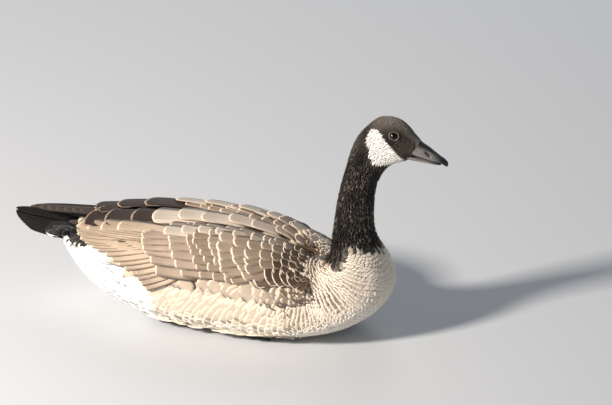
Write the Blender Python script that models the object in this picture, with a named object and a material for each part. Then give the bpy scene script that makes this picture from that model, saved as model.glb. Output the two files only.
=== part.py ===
"""A Canada goose at rest, life size, in metres, +Z up.

The bird faces +X and lies on its belly with its feet tucked under it. The origin is on the flat of the
belly, on the floor. Head, neck and body are one lofted surface, parted by thin cuts across it. Each wing
and the tail are a core that carries tiers of separate feather vanes.
"""

import math

import bmesh
import bpy
import numpy as np
from mathutils import Vector

MM = 0.001
GAP = 0.3 * MM  # between pieces that touch
FULL_TURN = 2 * math.pi

# The ribs of the bird, from the tail to the bill, in millimetres. Each is the point on the back, the
# point below it on the belly or throat (x, z), the half width, and how square the section is (1 is an
# ellipse, less is fuller).
RIBS = (
    ((-194, 101), (-226, 84), 32, 0.95),
    ((-184, 104), (-211, 64), 43, 0.92),
    ((-167, 107), (-190, 41), 54, 0.90),
    ((-143, 110), (-158, 20), 66, 0.88),
    ((-107, 114), (-112, 5), 77, 0.86),
    ((-60, 117), (-60, -3), 84, 0.85),
    ((-5, 116), (0, -6), 86, 0.85),
    ((44, 109), (60, -5), 84, 0.86),
    ((80, 99), (110, 3), 78, 0.88),
    ((101, 94), (150, 17), 68, 0.90),
    ((111, 96), (182, 41), 56, 0.92),
    ((116, 102), (196, 70), 45, 0.95),
    ((118, 113), (190, 100), 36, 0.98),
    ((119, 125), (176, 124), 30, 1.0),
    ((121, 142), (170.5, 146), 26, 1.0),
    ((125, 171), (170.5, 175), 24, 1.0),
    ((131, 199), (174, 199), 22.5, 1.0),
    ((137, 222), (178.5, 211), 21.5, 1.0),
    ((142, 242.5), (184, 221), 21.5, 1.0),
    ((149.5, 261), (190, 228), 22.1, 1.0),
    ((161.5, 276.2), (197, 233), 22.4, 0.97),
    ((174, 286.8), (203, 235), 22.3, 0.95),
    ((188, 289.4), (207, 236.5), 21.3, 0.95),
    ((200.5, 286.8), (210, 237.8), 19.3, 0.95),
    ((210.5, 280.2), (212.5, 239), 16.8, 0.95),
    ((219.5, 271.5), (214, 239.8), 13.6, 0.95),
    ((228.75, 263.2), (215, 240), 10.6, 0.95),
)
TORSO_END = 13.0  # the rib at which the neck begins
NECK_END = 18.0  # the rib at which the head begins
LAST_RIB = len(RIBS) - 1.0

# The bill goes on from the head's last rib. Each row is the upper edge and the lower edge (x, z) and
# the half width, in millimetres.
UPPER_BILL = (
    ((228.75, 263.2), (218.85, 246.5), 10.4),
    ((236, 259.3), (228, 244.6), 9.4),
    ((243, 254.8), (238, 242.9), 8.1),
    ((250, 250.2), (247, 241.4), 7.1),
    ((256, 246.4), (255, 239.9), 6.0),
    ((260.4, 243.0), (259.6, 237.4), 3.9),
    ((262, 240.2), (261.6, 236.9), 1.3),
)
LOWER_BILL = (
    ((218.6, 246.0), (215, 240), 9.9),
    ((228, 244.1), (226.5, 239.3), 8.7),
    ((238, 242.4), (237, 238.6), 7.2),
    ((247, 240.9), (246.4, 237.9), 5.8),
    ((253.6, 239.7), (253.2, 237.9), 4.0),
)
NOSTRIL_AT = (238.5, 251.0)
NOSTRIL_TURN = math.radians(-38)

# The head tips a little to its left, so that its right cheek looks up.
HEAD_ROLL = math.radians(8)
ROLL_AXIS_Z = 235 * MM
ROLL_FROM_Z = 165 * MM

AROUND = 32  # corners of a section of the torso
ROWS_PER_RIB = 2
AROUND_NECK = 24

EYE_AT = (199, 272.5)
EYE_RADIUS = 6.2 * MM
EYE_STANDS_OUT = 2.4 * MM
LID_RADIUS = 5.5 * MM
LID_THICK = 1.2 * MM

# The folded wing's core spans these ribs and corners of the torso's section.
WING_FRONT = 9.0
WING_REAR = 3.0
WING_CORNERS = (0.5, 1, 2, 3, 4, 5, 6)
WING_THICK = 9.5 * MM
VANE_THICK = 0.7 * MM
LOUVRE = math.radians(9)  # how far each vane's lower edge stands over the next one

# The tiers of a folded wing: the number of vanes, then the rib number and the degrees from the back of
# the first vane's root and tip and of the last one's, the half width and how far the tips stand out, in
# millimetres.
TIERS = (
    (7, (4.7, 9), (0.6, 13), (4.9, 62), (3.9, 80), 9.4, 0.8),
    (5, (4.95, 10), (3.95, 11), (4.95, 61), (4.15, 66), 10.6, 2.6),
    (5, (5.7, 10), (4.75, 10), (5.7, 61), (4.8, 66), 10.6, 3.0),
    (5, (6.4, 10), (5.45, 10), (6.4, 61), (5.5, 65), 10.6, 3.0),
    (5, (7.05, 10), (6.1, 10), (7.0, 61), (6.15, 65), 10.4, 3.0),
    (5, (7.75, 10), (6.75, 10), (7.6, 62), (6.8, 66), 10.0, 3.0),
    (5, (8.35, 13), (7.4, 10), (8.2, 62), (7.4, 67), 9.6, 2.8),
    (5, (8.95, 19), (8.0, 14), (8.85, 62), (8.0, 67), 8.6, 2.5),
)
PRIMARIES = 6
PRIMARY_TIPS = {-1: (-188, -214), 1: (-206, -271)}  # of the shortest and longest, in millimetres

TAIL_PAIRS = 8
TAIL_TIP = -286
TAIL_CORE = (
    ((-194, 101), (-226, 84), 32),
    ((-208, 101.5), (-229, 84.5), 36),
    ((-224, 101.5), (-235, 86), 36),
    ((-238, 100.5), (-241, 90), 31),
)

# The feet lie under the belly: the ankle behind, the toes forward. x, y and z in millimetres.
ANKLE = (-84, 46, 6)
TOE_ROOT = (-8, 45, 4.3)
TOES = ((56, 35, 1.8), (68, 46, 1.8), (58, 58, 1.8))
SHIN_TOP = 12.6  # where the shin ends under the belly

PLUMAGE = {
    "black": ((0.018, 0.016, 0.015), 0.55),
    "buff": ((0.46, 0.38, 0.30), 0.7),
    "brown": ((0.27, 0.21, 0.165), 0.65),
    "bill": ((0.03, 0.03, 0.032), 0.4),
    "leg": ((0.045, 0.043, 0.04), 0.55),
    "eye": ((0.012, 0.009, 0.007), 0.08),
}


def smoothstep(value):
    value = min(max(value, 0.0), 1.0)
    return value * value * (3 - 2 * value)


def between(start, end, share):
    """The place at a share of the way from start to end."""
    return [a + (b - a) * share for a, b in zip(start, end)]


def clear_scene():
    for obj in list(bpy.data.objects):
        bpy.data.objects.remove(obj, do_unlink=True)


def material(name):
    colour, roughness = PLUMAGE[name]
    found = bpy.data.materials.get(name)
    if found:
        return found
    made = bpy.data.materials.new(name)
    made.use_nodes = True
    shader = made.node_tree.nodes["Principled BSDF"]
    shader.inputs["Base Color"].default_value = (*colour, 1)
    shader.inputs["Roughness"].default_value = roughness
    shader.inputs["Metallic"].default_value = 0
    return made


def rib_values():
    """The ribs as an array: back x, back z, belly x, belly z, half width, squareness, in metres."""
    rows = [(*back, *belly, half) for back, belly, half, _ in RIBS]
    lengths = np.array(rows, float) * MM
    square = np.array([[rib[3]] for rib in RIBS])
    return np.hstack([lengths, square])


RIB_VALUES = rib_values()


def rib_at(u):
    """A rib between the listed ones, by a Catmull-Rom curve through them."""
    u = min(max(u, 0.0), LAST_RIB)
    first = min(int(u), len(RIBS) - 2)
    t = u - first
    index = np.clip([first - 1, first, first + 1, first + 2], 0, len(RIBS) - 1)
    a, b, c, d = RIB_VALUES[index]
    return 0.5 * (2 * b + (c - a) * t + (2 * a - 5 * b + 4 * c - d) * t**2 + (3 * b - a - 3 * c + d) * t**3)


def posed(point):
    """Tips the head to its left, with the turn fading out down the neck."""
    x, y, z = point
    turn = HEAD_ROLL * smoothstep((z - ROLL_FROM_Z) / (ROLL_AXIS_Z - ROLL_FROM_Z))
    up = z - ROLL_AXIS_Z
    y, up = y * math.cos(turn) + up * math.sin(turn), up * math.cos(turn) - y * math.sin(turn)
    return np.array([x, y, up + ROLL_AXIS_Z])


def surface(u, angle, out=0.0):
    """A point of the bird's surface before the head is tipped. angle runs from the back towards -Y."""
    back_x, back_z, belly_x, belly_z, half, square = rib_at(u)
    along, across = math.cos(angle), math.sin(angle)
    along = math.copysign(abs(along) ** square, along)
    across = math.copysign(abs(across) ** square, across)
    middle = np.array([(back_x + belly_x) / 2, 0, (back_z + belly_z) / 2])
    reach = np.array([(back_x - belly_x) / 2, 0, (back_z - belly_z) / 2])
    point = middle + reach * along - np.array([0, half, 0]) * across
    if out:
        point = point + outward(u, angle) * out
    return point


def outward(u, angle, step=0.02):
    """The surface's unit normal, from four points round the place."""
    along = surface(u + step, angle) - surface(u - step, angle)
    around = surface(u, angle + step) - surface(u, angle - step)
    normal = np.cross(around, along)
    return normal / np.linalg.norm(normal)


def new_object(name, points, faces, kind):
    mesh = bpy.data.meshes.new(name)
    mesh.from_pydata([tuple(p) for p in points], [], faces)
    mesh.materials.append(material(kind))
    work = bmesh.new()
    work.from_mesh(mesh)
    bmesh.ops.remove_doubles(work, verts=work.verts, dist=0.00001)
    bmesh.ops.recalc_face_normals(work, faces=work.faces)
    work.to_mesh(mesh)
    work.free()
    obj = bpy.data.objects.new(name, mesh)
    bpy.context.scene.collection.objects.link(obj)
    return obj


def loft(name, rings, kind, folded=False):
    """A closed solid through rings of as many points each.

    Its ends are fans of triangles, or where each ring is a strip folded back on itself, the strip.
    """
    count = len(rings[0])
    points = [p for ring in rings for p in ring]
    faces = []
    for row in range(len(rings) - 1):
        for k in range(count):
            after = (k + 1) % count
            low, high = row * count, (row + 1) * count
            faces.append((low + k, low + after, high + after, high + k))
    for start, ring in ((0, rings[0]), ((len(rings) - 1) * count, rings[-1])):
        if folded:
            for k in range(count // 2 - 1):
                faces.append((start + k, start + k + 1, start + count - 2 - k, start + count - 1 - k))
            continue
        points.append(np.mean(ring, axis=0))
        centre = len(points) - 1
        for k in range(count):
            faces.append((start + k, start + (k + 1) % count, centre))
    return new_object(name, points, faces, kind)


def largest_surface(obj):
    """Keeps the biggest closed surface of a mesh and drops loose scraps and sealed hollows."""
    work = bmesh.new()
    work.from_mesh(obj.data)
    bmesh.ops.triangulate(work, faces=work.faces)
    left = set(work.verts)
    groups = []
    while left:
        seed = left.pop()
        group = {seed}
        edge_of = [seed]
        while edge_of:
            vert = edge_of.pop()
            for edge in vert.link_edges:
                other = edge.other_vert(vert)
                if other in left:
                    left.remove(other)
                    group.add(other)
                    edge_of.append(other)
        groups.append(group)
    groups.sort(key=lambda g: (Vector(np.ptp([v.co for v in g], axis=0))).length, reverse=True)
    loose = [v for group in groups[1:] for v in group]
    bmesh.ops.delete(work, geom=loose, context="VERTS")
    bmesh.ops.dissolve_limit(work, angle_limit=0.004, verts=work.verts, edges=work.edges)
    bmesh.ops.triangulate(work, faces=work.faces)
    work.to_mesh(obj.data)
    work.free()
    return obj


def boolean(obj, others, operation):
    """Joins a list of closed objects to obj, or cuts them from it, and removes them."""
    group = bpy.data.collections.new(obj.name + "_pieces")
    bpy.context.scene.collection.children.link(group)
    for other in others:
        group.objects.link(other)
        bpy.context.scene.collection.objects.unlink(other)
    modifier = obj.modifiers.new("join", "BOOLEAN")
    modifier.operation = operation
    modifier.operand_type = "COLLECTION"
    modifier.collection = group
    modifier.solver = "MANIFOLD"
    bpy.context.view_layer.update()
    graph = bpy.context.evaluated_depsgraph_get()
    mesh = bpy.data.meshes.new_from_object(obj.evaluated_get(graph))
    obj.modifiers.remove(modifier)
    kept = obj.data.materials[0]
    obj.data = mesh
    mesh.materials.clear()
    mesh.materials.append(kept)
    for other in others:
        bpy.data.objects.remove(other, do_unlink=True)
    bpy.data.collections.remove(group)
    return largest_surface(obj)


def leg_room(x, y):
    """How high the belly stands over the floor where the legs and feet lie."""
    x, y = x / MM, abs(y) / MM
    high = 13 - 3 * smoothstep((x + 50) / 20)
    in_length = smoothstep((x + 112) / 14) * smoothstep((100 - x) / 16)
    return high * MM * in_length * smoothstep((y - 22) / 8) * smoothstep((84 - y) / 8)


def on_floor(point):
    x, y, z = point
    return np.array([x, y, max(z, leg_room(x, y))])


def section(u, count):
    return [posed(on_floor(surface(u, FULL_TURN * k / count))) for k in range(count)]


def body_length(first, last, steps_per_rib, count):
    """The rings of a length of the bird between two rib numbers."""
    steps = max(2, round((last - first) * steps_per_rib))
    return [section(first + (last - first) * k / steps, count) for k in range(steps + 1)]


def gap_in_ribs(u):
    """The part of a rib number that makes the gap between two pieces, at rib u."""
    here, there = (rib_at(v)[:4].reshape(2, 2).mean(axis=0) for v in (u, u - 0.1))
    return GAP * 0.1 / np.linalg.norm(there - here)


def bill_ring(upper, lower, half, widest, count=12):
    """A ring of the bill, ahead of the head by the gap. widest is where it is, from lower to upper."""
    ahead = np.array([24.5, 0, -14.5]) / math.hypot(24.5, 14.5) * 0.3
    upper, lower = (np.array([x, 0, z]) + ahead for x, z in (upper, lower))
    belt = lower + (upper - lower) * widest
    ring = []
    for k in range(count):
        turn = FULL_TURN * k / count
        reach = (upper if math.cos(turn) > 0 else lower) - belt
        point = belt + reach * abs(math.cos(turn)) - np.array([0, half, 0]) * math.sin(turn)
        ring.append(posed(point * MM))
    return ring


def ball(name, centre, radii, kind, around=16, up=10, turn=0.0):
    """An ellipsoid, turned about Y."""
    rings = []
    for row in range(1, up):
        tilt = math.pi * row / up
        ring = []
        for k in range(around):
            way = FULL_TURN * k / around
            point = (math.sin(tilt) * math.cos(way), math.cos(tilt), math.sin(tilt) * math.sin(way))
            x, y, z = (p * r for p, r in zip(point, radii))
            ring.append(
                np.array(centre)
                + (x * math.cos(turn) - z * math.sin(turn), y, x * math.sin(turn) + z * math.cos(turn))
            )
        rings.append(ring)
    obj = loft(name, rings, kind)
    poles = sorted(obj.data.vertices, key=lambda v: v.co.y)
    poles[0].co.y = centre[1] - radii[1]
    poles[-1].co.y = centre[1] + radii[1]
    return obj


def eye_place(side):
    """The place of the eye on the head's side and the outward direction there."""
    best = None
    for u in np.arange(20.0, 25.0, 0.05):
        for angle in np.arange(0.6, 1.9, 0.02):
            point = surface(u, angle)
            miss = math.hypot(point[0] - EYE_AT[0] * MM, point[2] - EYE_AT[1] * MM)
            if best is None or miss < best[0]:
                best = (miss, point, outward(u, angle))
    flip = np.array([1, -side, 1])
    place = best[1] * flip
    normal = posed(place + best[2] * flip * MM) - posed(place)
    return posed(place), normal / np.linalg.norm(normal)


def ring_tube(name, centre, normal, radius, thick, kind, around=16, corners=5):
    """A closed ring, for a lid."""
    normal = np.array(normal)
    first = np.cross(normal, [0, 0, 1])
    first /= np.linalg.norm(first)
    second = np.cross(normal, first)
    points, faces = [], []
    for k in range(around):
        way = FULL_TURN * k / around
        out = first * math.cos(way) + second * math.sin(way)
        for j in range(corners):
            turn = FULL_TURN * j / corners
            points.append(centre + out * (radius + thick * math.cos(turn)) + normal * thick * math.sin(turn))
            a, b = k * corners, (k + 1) % around * corners
            after = (j + 1) % corners
            faces.append((a + j, b + j, b + after, a + after))
    return new_object(name, points, faces, kind)


def make_head():
    head = loft("head", body_length(NECK_END, LAST_RIB, 2, AROUND_NECK), "black")
    lids, sockets = [], []
    for name, side in (("eye_right", -1), ("eye_left", 1)):
        place, normal = eye_place(side)
        centre = place - normal * (EYE_RADIUS - EYE_STANDS_OUT)
        lids.append(ring_tube("lid", place + normal * 0.3 * MM, normal, LID_RADIUS, LID_THICK, "black"))
        sockets.append(ball("socket", centre, [EYE_RADIUS + GAP] * 3, "black", 16, 10))
        ball(name, centre, [EYE_RADIUS] * 3, "eye", 16, 10)
    head = boolean(head, lids, "UNION")
    return boolean(head, sockets, "DIFFERENCE")


def make_bill():
    upper = loft("bill_upper", [bill_ring(*row, 0.3) for row in UPPER_BILL], "bill")
    loft("bill_lower", [bill_ring(*row, 0.75) for row in LOWER_BILL], "bill")
    nostrils = []
    for side in (-1, 1):
        x, z = NOSTRIL_AT
        centre = posed(np.array([x, side * 7.6, z]) * MM)
        nostrils.append(ball("nostril", centre, (4.4 * MM, 2.2 * MM, 1.3 * MM), "bill", 10, 6, NOSTRIL_TURN))
    return boolean(upper, nostrils, "DIFFERENCE")


def vane(name, middle, sides, normals, low, high, camber, kind):
    """A feather vane: a thin blade with its shaft line a little raised.

    middle, sides and normals hold a point and two unit vectors for each step from root to tip. low and
    high are the half widths against and along the side vector, camber the rise of the shaft line.
    """
    points, faces = [], []
    for p, s, n, near, far in zip(middle, sides, normals, low, high):
        upper = (p - s * near, p + n * camber, p + s * far)
        points.extend((*upper, *(q - n * VANE_THICK for q in upper)))
    for k in range(len(middle) - 1):
        a, b = 6 * k, 6 * (k + 1)
        for j in range(2):
            faces.append((a + j, a + j + 1, b + j + 1))
            faces.append((a + j, b + j + 1, b + j))
            faces.append((a + 3 + j, b + 4 + j, a + 4 + j))
            faces.append((a + 3 + j, b + 3 + j, b + 4 + j))
        for j in (0, 2):
            faces.append((a + j, b + j, b + 3 + j))
            faces.append((a + j, b + 3 + j, a + 3 + j))
    for a in (0, 6 * (len(middle) - 1)):
        for j in range(2):
            faces.append((a + j, a + j + 1, a + 4 + j))
            faces.append((a + j, a + 4 + j, a + 3 + j))
    return new_object(name, points, faces, kind)


VANE_STEPS = (0.0, 0.35, 0.66, 0.88, 1.0)
VANE_WIDTHS = (0.66, 0.95, 1.0, 0.76, 0.3)


def wing_depth(u, angle):
    """How far the folded wing stands out from the body's own surface."""
    degrees = math.degrees(angle)
    over_back = 1.0 + 0.25 * math.exp(-(((degrees - 26) / 14) ** 2))
    at_front = smoothstep((WING_FRONT + 0.5 - u) / 3)
    at_rear = 0.5 + 0.5 * smoothstep((u - 1.0) / 3.5)
    at_low = 1 - 0.5 * smoothstep((degrees - 46) / 24)
    return WING_THICK * over_back * (0.36 + 0.64 * at_front) * at_rear * at_low


def wing_vane(root, tip, half, rise, side):
    """One vane on the folded wing. root and tip are (rib number, degrees from the back)."""
    mirror = np.array([1, -side, 1])
    middle, sides, normals = [], [], []
    sink = 0.4 * wing_depth(root[0], math.radians(root[1]))
    for step in VANE_STEPS:
        u, degrees = (a + (b - a) * step for a, b in zip(root, tip))
        angle = math.radians(degrees)
        lift = -sink + (rise * MM + sink) * step**0.8
        middle.append(surface(u, angle, wing_depth(u, angle) + lift))
        normals.append(outward(u, angle))
    for k, normal in enumerate(normals):
        along = middle[min(k + 1, len(middle) - 1)] - middle[max(k - 1, 0)]
        across = np.cross(normal, along)
        across /= np.linalg.norm(across)
        sides.append(across * math.cos(LOUVRE) + normal * math.sin(LOUVRE))
        normals[k] = normal * math.cos(LOUVRE) - across * math.sin(LOUVRE)
    widths = [half * width * MM for width in VANE_WIDTHS]
    middle, sides, normals = ([v * mirror for v in vectors] for vectors in (middle, sides, normals))
    return vane("vane", middle, sides, normals, widths, widths, 0.04 * half * MM, "brown")


def straight_vane(root, tip, low, high, tilt, kind, widths=(0.7, 1.0, 1.0, 0.8, 0.35)):
    """A flight feather between two points in millimetres, its +Y edge tilted up."""
    root, tip = np.array(root, float) * MM, np.array(tip, float) * MM
    along = (tip - root) / np.linalg.norm(tip - root)
    side = np.cross(along, [0, 0, 1])  # towards +Y, as the feather points back
    side /= np.linalg.norm(side)
    normal = np.cross(side, along)
    side, normal = (
        side * math.cos(tilt) + normal * math.sin(tilt),
        normal * math.cos(tilt) - side * math.sin(tilt),
    )
    middle = [root + (tip - root) * step for step in VANE_STEPS]
    count = len(middle)
    return vane(
        "vane", middle, [side] * count, [normal] * count,
        [low * w * MM for w in widths], [high * w * MM for w in widths], 0.2 * MM, kind,
    )


def primaries(side):
    """The long flight feathers. Each lies under the one before it and reaches further back."""
    shortest, longest = PRIMARY_TIPS[side]
    pieces = []
    for k in range(PRIMARIES):
        t = k / (PRIMARIES - 1)
        root = (-120, side * (20 + 8 * t), 118 - 6.0 * t)
        tip = (shortest + (longest - shortest) * t, side * (9 + 2 * t), 114 - 6.0 * t)
        pieces.append(straight_vane(root, tip, 7, 7, side * math.radians(-6), "brown"))
    return pieces


def wing_core(name, side):
    """The folded wing under its feathers: a slab over the torso's own facets, a gap clear of them."""
    flip = np.array([1, -side, 1])
    steps = round((WING_FRONT - WING_REAR) * ROWS_PER_RIB)
    rings = []
    for row in range(steps + 1):
        u = WING_REAR + (WING_FRONT - WING_REAR) * row / steps
        end = 0.45 if row in (0, steps) else 1.0
        low, high = [], []
        for corner in WING_CORNERS:
            angle = FULL_TURN * corner / AROUND
            edge = {WING_CORNERS[0]: 0.8, WING_CORNERS[-1]: 0.5}.get(corner, 1.0)
            low.append(surface(u, angle, 1.5 * GAP) * flip)
            high.append(surface(u, angle, 1.5 * GAP + wing_depth(u, angle) * edge * end) * flip)
        rings.append([*low, *reversed(high)])
    return loft(name, rings, "brown", folded=True)


def make_wing(name, side):
    core = wing_core(name, side)
    pieces = primaries(side)
    for count, root_a, tip_a, root_b, tip_b, half, rise in TIERS:
        for k in range(count):
            root, tip = (between(*ends, k / (count - 1)) for ends in ((root_a, root_b), (tip_a, tip_b)))
            pieces.append(wing_vane(root, tip, half, rise, side))
    return boolean(core, pieces, "UNION")


def tail_ring(back, belly, half, count=16):
    """A ring of the tail's core, the gap above the torso's end."""
    lift = np.array([-17, 0, 32]) / math.hypot(17, 32) * 0.3
    back, belly = (np.array([x, 0, z]) + lift for x, z in (back, belly))
    ring = []
    for k in range(count):
        turn = FULL_TURN * k / count
        along = math.copysign(abs(math.cos(turn)) ** 0.8, math.cos(turn))
        across = math.copysign(abs(math.sin(turn)) ** 0.8, math.sin(turn))
        ring.append(((back + belly) / 2 + (back - belly) / 2 * along - np.array([0, half, 0]) * across) * MM)
    return ring


def make_tail():
    """The closed tail: a roof of feathers, each pair under the pair nearer the middle."""
    core = loft("tail", [tail_ring(*row) for row in TAIL_CORE], "black")
    pieces = []
    for k in range(TAIL_PAIRS):
        for side in (-1, 1):
            on_top = k == 0 and side < 0
            y = 3.4 * k + 2.6
            root = (-216 - 1.1 * k, side * y, 99 - 1.3 * k + (1.3 if on_top else 0))
            tip_y = 2.15 * k + 1.9
            tip = (TAIL_TIP + 0.35 * k * k, side * tip_y, 104 - 1.4 * k + (1.3 if on_top else 0))
            inner = 9 if on_top else min(9, tip_y - 0.2)
            widths = (8.5, inner) if side < 0 else (inner, 8.5)
            tilt = side * math.radians(-4 - 1.4 * k)
            pieces.append(straight_vane(root, tip, *widths, tilt, "black", (0.95, 1, 1, 0.9, 0.5)))
    return boolean(core, pieces, "UNION")


def tube(name, places, radii, kind, corners=8, top=None):
    """A solid round a line of places, flat where it meets the floor and, if given, a ceiling."""
    places = [np.array(p, float) * MM for p in places]
    rings = []
    for k, (place, radius) in enumerate(zip(places, radii)):
        along = places[min(k + 1, len(places) - 1)] - places[max(k - 1, 0)]
        side = np.cross(along, [0, 0, 1])
        side /= np.linalg.norm(side)
        up = np.cross(side, along)
        up /= np.linalg.norm(up)
        ring = []
        for j in range(corners):
            turn = FULL_TURN * (j + 0.5) / corners
            point = place + (side * math.cos(turn) + up * math.sin(turn)) * radius * MM
            point[2] = max(point[2], 0.0)
            if top is not None:
                point[2] = min(point[2], top * MM)
            ring.append(point)
        rings.append(ring)
    return loft(name, rings, kind)


def slab(name, outline, low, high, kind):
    """A flat sheet between two heights with the given plan, in millimetres."""
    count = len(outline)
    points = [np.array([x, y, z]) * MM for z in (low, high) for x, y in outline]
    faces = [(k, (k + 1) % count, count + (k + 1) % count, count + k) for k in range(count)]
    for start in (0, count):
        faces.extend((start, start + k, start + k + 1) for k in range(1, count - 1))
    return new_object(name, points, faces, kind)


def on_side(places, side):
    """Places given for the left side, moved to the side asked for."""
    return [(x, side * y, z) for x, y, z in places]


def make_leg(side, label):
    """The lower leg along the floor, from the ankle to the toes, and the stump of the shin over it."""
    shank = [(-89, 46, 6), *(between(ANKLE, TOE_ROOT, t) for t in (0, 0.08, 0.3, 0.7, 0.93, 1))]
    leg = tube(f"leg_{label}", on_side(shank, side), (3.5, 6.0, 5.4, 4.3, 4.0, 4.3, 4.6), "leg")
    shin = on_side([(-86, 46, 5), (-78, 47, 9), (-66, 48, 14)], side)
    return boolean(leg, [tube("shin", shin, (4.5, 5.6, 6.6), "leg", top=SHIN_TOP)], "UNION")


def make_foot(side, label):
    """Three toes and the web between them, and the small hind toe."""
    x, y, z = TOE_ROOT
    pieces = []
    for tip in TOES:
        line = [between(TOE_ROOT, tip, t) for t in (0.03, 0.3, 0.6, 0.88, 1)]
        pieces.append(tube("toe", on_side(line, side), (3.6, 3.1, 2.7, 2.2, 0.8), "leg"))
    hind = [(x + 5, y - 4, 3.4), (x - 1, y - 8.6, 3.2), (x - 12, y - 9.5, 2.4)]
    pieces.append(tube("hind_toe", on_side(hind, side), (3.0, 2.2, 0.9), "leg"))
    (ax, ay, _), (bx, by, _), (cx, cy, _) = TOES
    first_dip = ((ax + bx) / 2 - 16, (ay + by) / 2)
    second_dip = ((bx + cx) / 2 - 17, (by + cy) / 2)
    web = [(x + 3, y), (ax - 8, ay), first_dip, (bx - 10, by), second_dip, (cx - 9, cy)]
    pieces.append(slab("web", [(px, side * py) for px, py in web], 0.9, 2.3, "leg"))
    knuckle = on_side([(x + 0.3, y, z), (x + 7, y, z)], side)
    return boolean(tube(f"foot_{label}", knuckle, (4.5, 4.2), "leg"), pieces, "UNION")


def main():
    clear_scene()
    loft("torso", body_length(0.0, TORSO_END, ROWS_PER_RIB, AROUND), "buff")
    neck_ends = (TORSO_END + gap_in_ribs(TORSO_END), NECK_END - gap_in_ribs(NECK_END))
    loft("neck", body_length(*neck_ends, 1.6, AROUND_NECK), "black")
    make_head()
    make_bill()
    make_tail()
    for label, side in (("right", -1), ("left", 1)):
        make_wing(f"wing_{label}", side)
        make_leg(side, label)
        make_foot(side, label)


main()
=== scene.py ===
"""Looks of a resting Canada goose: its skin, plumage, bill, eyes, legs and a plain studio."""
import math
from collections import namedtuple

import bpy
import numpy as np
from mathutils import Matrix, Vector


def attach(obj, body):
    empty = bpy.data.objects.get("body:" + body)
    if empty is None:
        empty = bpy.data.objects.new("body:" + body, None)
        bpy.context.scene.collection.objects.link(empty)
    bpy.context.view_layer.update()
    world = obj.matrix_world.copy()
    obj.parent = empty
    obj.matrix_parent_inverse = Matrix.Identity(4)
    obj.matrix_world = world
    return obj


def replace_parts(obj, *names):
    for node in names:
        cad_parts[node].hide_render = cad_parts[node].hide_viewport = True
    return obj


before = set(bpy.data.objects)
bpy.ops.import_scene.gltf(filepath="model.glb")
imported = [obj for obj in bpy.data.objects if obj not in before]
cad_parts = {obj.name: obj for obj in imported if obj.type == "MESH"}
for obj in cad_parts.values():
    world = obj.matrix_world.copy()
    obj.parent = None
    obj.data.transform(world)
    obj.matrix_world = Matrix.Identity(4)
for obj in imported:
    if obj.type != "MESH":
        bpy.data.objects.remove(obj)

bl_info = {
    "name": "Resting goose",
    "blender": (4, 5, 0),
    "version": (1, 0, 0),
    "location": "View3D > Sidebar > Goose",
    "description": "Dresses a resting Canada goose with skin, feathers, bill and eyes",
    "category": "Object",
}

MM = 0.001
TURN = 2 * math.pi
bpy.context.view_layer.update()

# The ribs of the bird, from the tail to the bill: the point on the back and the one below it (x, z), the
# half width, all in millimetres, and how square the section is. The first three are the tail's root.
RIBS = (
    ((-238, 100.5), (-241, 90), 31, 0.8),
    ((-224, 101.5), (-235, 86), 36, 0.82),
    ((-208, 101.5), (-229, 84.5), 36, 0.88),
    ((-194, 101), (-226, 84), 32, 0.95),
    ((-184, 104), (-211, 64), 43, 0.92),
    ((-167, 107), (-190, 41), 54, 0.90),
    ((-143, 110), (-158, 20), 66, 0.88),
    ((-107, 114), (-112, 5), 77, 0.86),
    ((-60, 117), (-60, -3), 84, 0.85),
    ((-5, 116), (0, -6), 86, 0.85),
    ((44, 109), (60, -5), 84, 0.86),
    ((80, 99), (110, 3), 78, 0.88),
    ((101, 94), (150, 17), 68, 0.90),
    ((111, 96), (182, 41), 56, 0.92),
    ((116, 102), (196, 70), 45, 0.95),
    ((118, 113), (190, 100), 36, 0.98),
    ((119, 125), (176, 124), 30, 1.0),
    ((121, 142), (170.5, 146), 26, 1.0),
    ((125, 171), (170.5, 175), 24, 1.0),
    ((131, 199), (174, 199), 22.5, 1.0),
    ((137, 222), (178.5, 211), 21.5, 1.0),
    ((142, 242.5), (184, 221), 21.5, 1.0),
    ((149.5, 261), (190, 228), 22.1, 1.0),
    ((161.5, 276.2), (197, 233), 22.4, 0.97),
    ((174, 286.8), (203, 235), 22.3, 0.95),
    ((188, 289.4), (207, 236.5), 21.3, 0.95),
    ((200.5, 286.8), (210, 237.8), 19.3, 0.95),
    ((210.5, 280.2), (212.5, 239), 16.8, 0.95),
    ((219.5, 271.5), (214, 239.8), 13.6, 0.95),
    ((228.75, 263.2), (215, 240), 10.6, 0.95),
)
RIB_TABLE = np.array([(*back, *low, half, square) for back, low, half, square in RIBS])
RIB_TABLE[:, :5] *= MM
FIRST_RIB, LAST_RIB = -3.0, 26.0  # rib 0 is where the rump ends
LEVEL_ANGLE = math.radians(100)  # where the rows of feathers are measured out along the side

HEAD_ROLL = math.radians(8)
ROLL_FROM_Z, ROLL_TO_Z = 165 * MM, 235 * MM
EYE_AT = (199 * MM, 272.5 * MM)  # along the bird and up, before the head is tipped
EYE_CLEAR = 5.9 * MM  # no feather grows nearer to the middle of the eye
LOWEST_SKIN, LOWEST_VANE = 0.6 * MM, 0.4 * MM  # over the floor

# Tables by rib number. How deep the skin lies under the feathers' outer surface, and how far apart the
# feathers stand: from row to row on the body, beside each other in a row, and on the neck and head, in mm.
COAT_DEPTH = ((-3, 0, 8, 9, 12, 13, 17, 19, 22, 26), (1.2, 1.3, 1.3, 1.8, 1.8, 1.7, 1.5, 1.1, 0.8, 0.5))
ROW_SPACING = ((-3, 0, 3, 7, 8, 12, 13), (6.5, 7.5, 8.5, 8.0, 5.0, 4.6, 3.6))
BESIDE_SPACING = ((-3, 0, 4, 7, 8, 12, 13), (6, 7, 8.5, 8.5, 5.0, 4.4, 3.6))
NECK_SPACING = ((12, 14, 18, 19.5, 22, 26), (2.5, 2.3, 2.1, 1.75, 1.5, 1.3))
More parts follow.
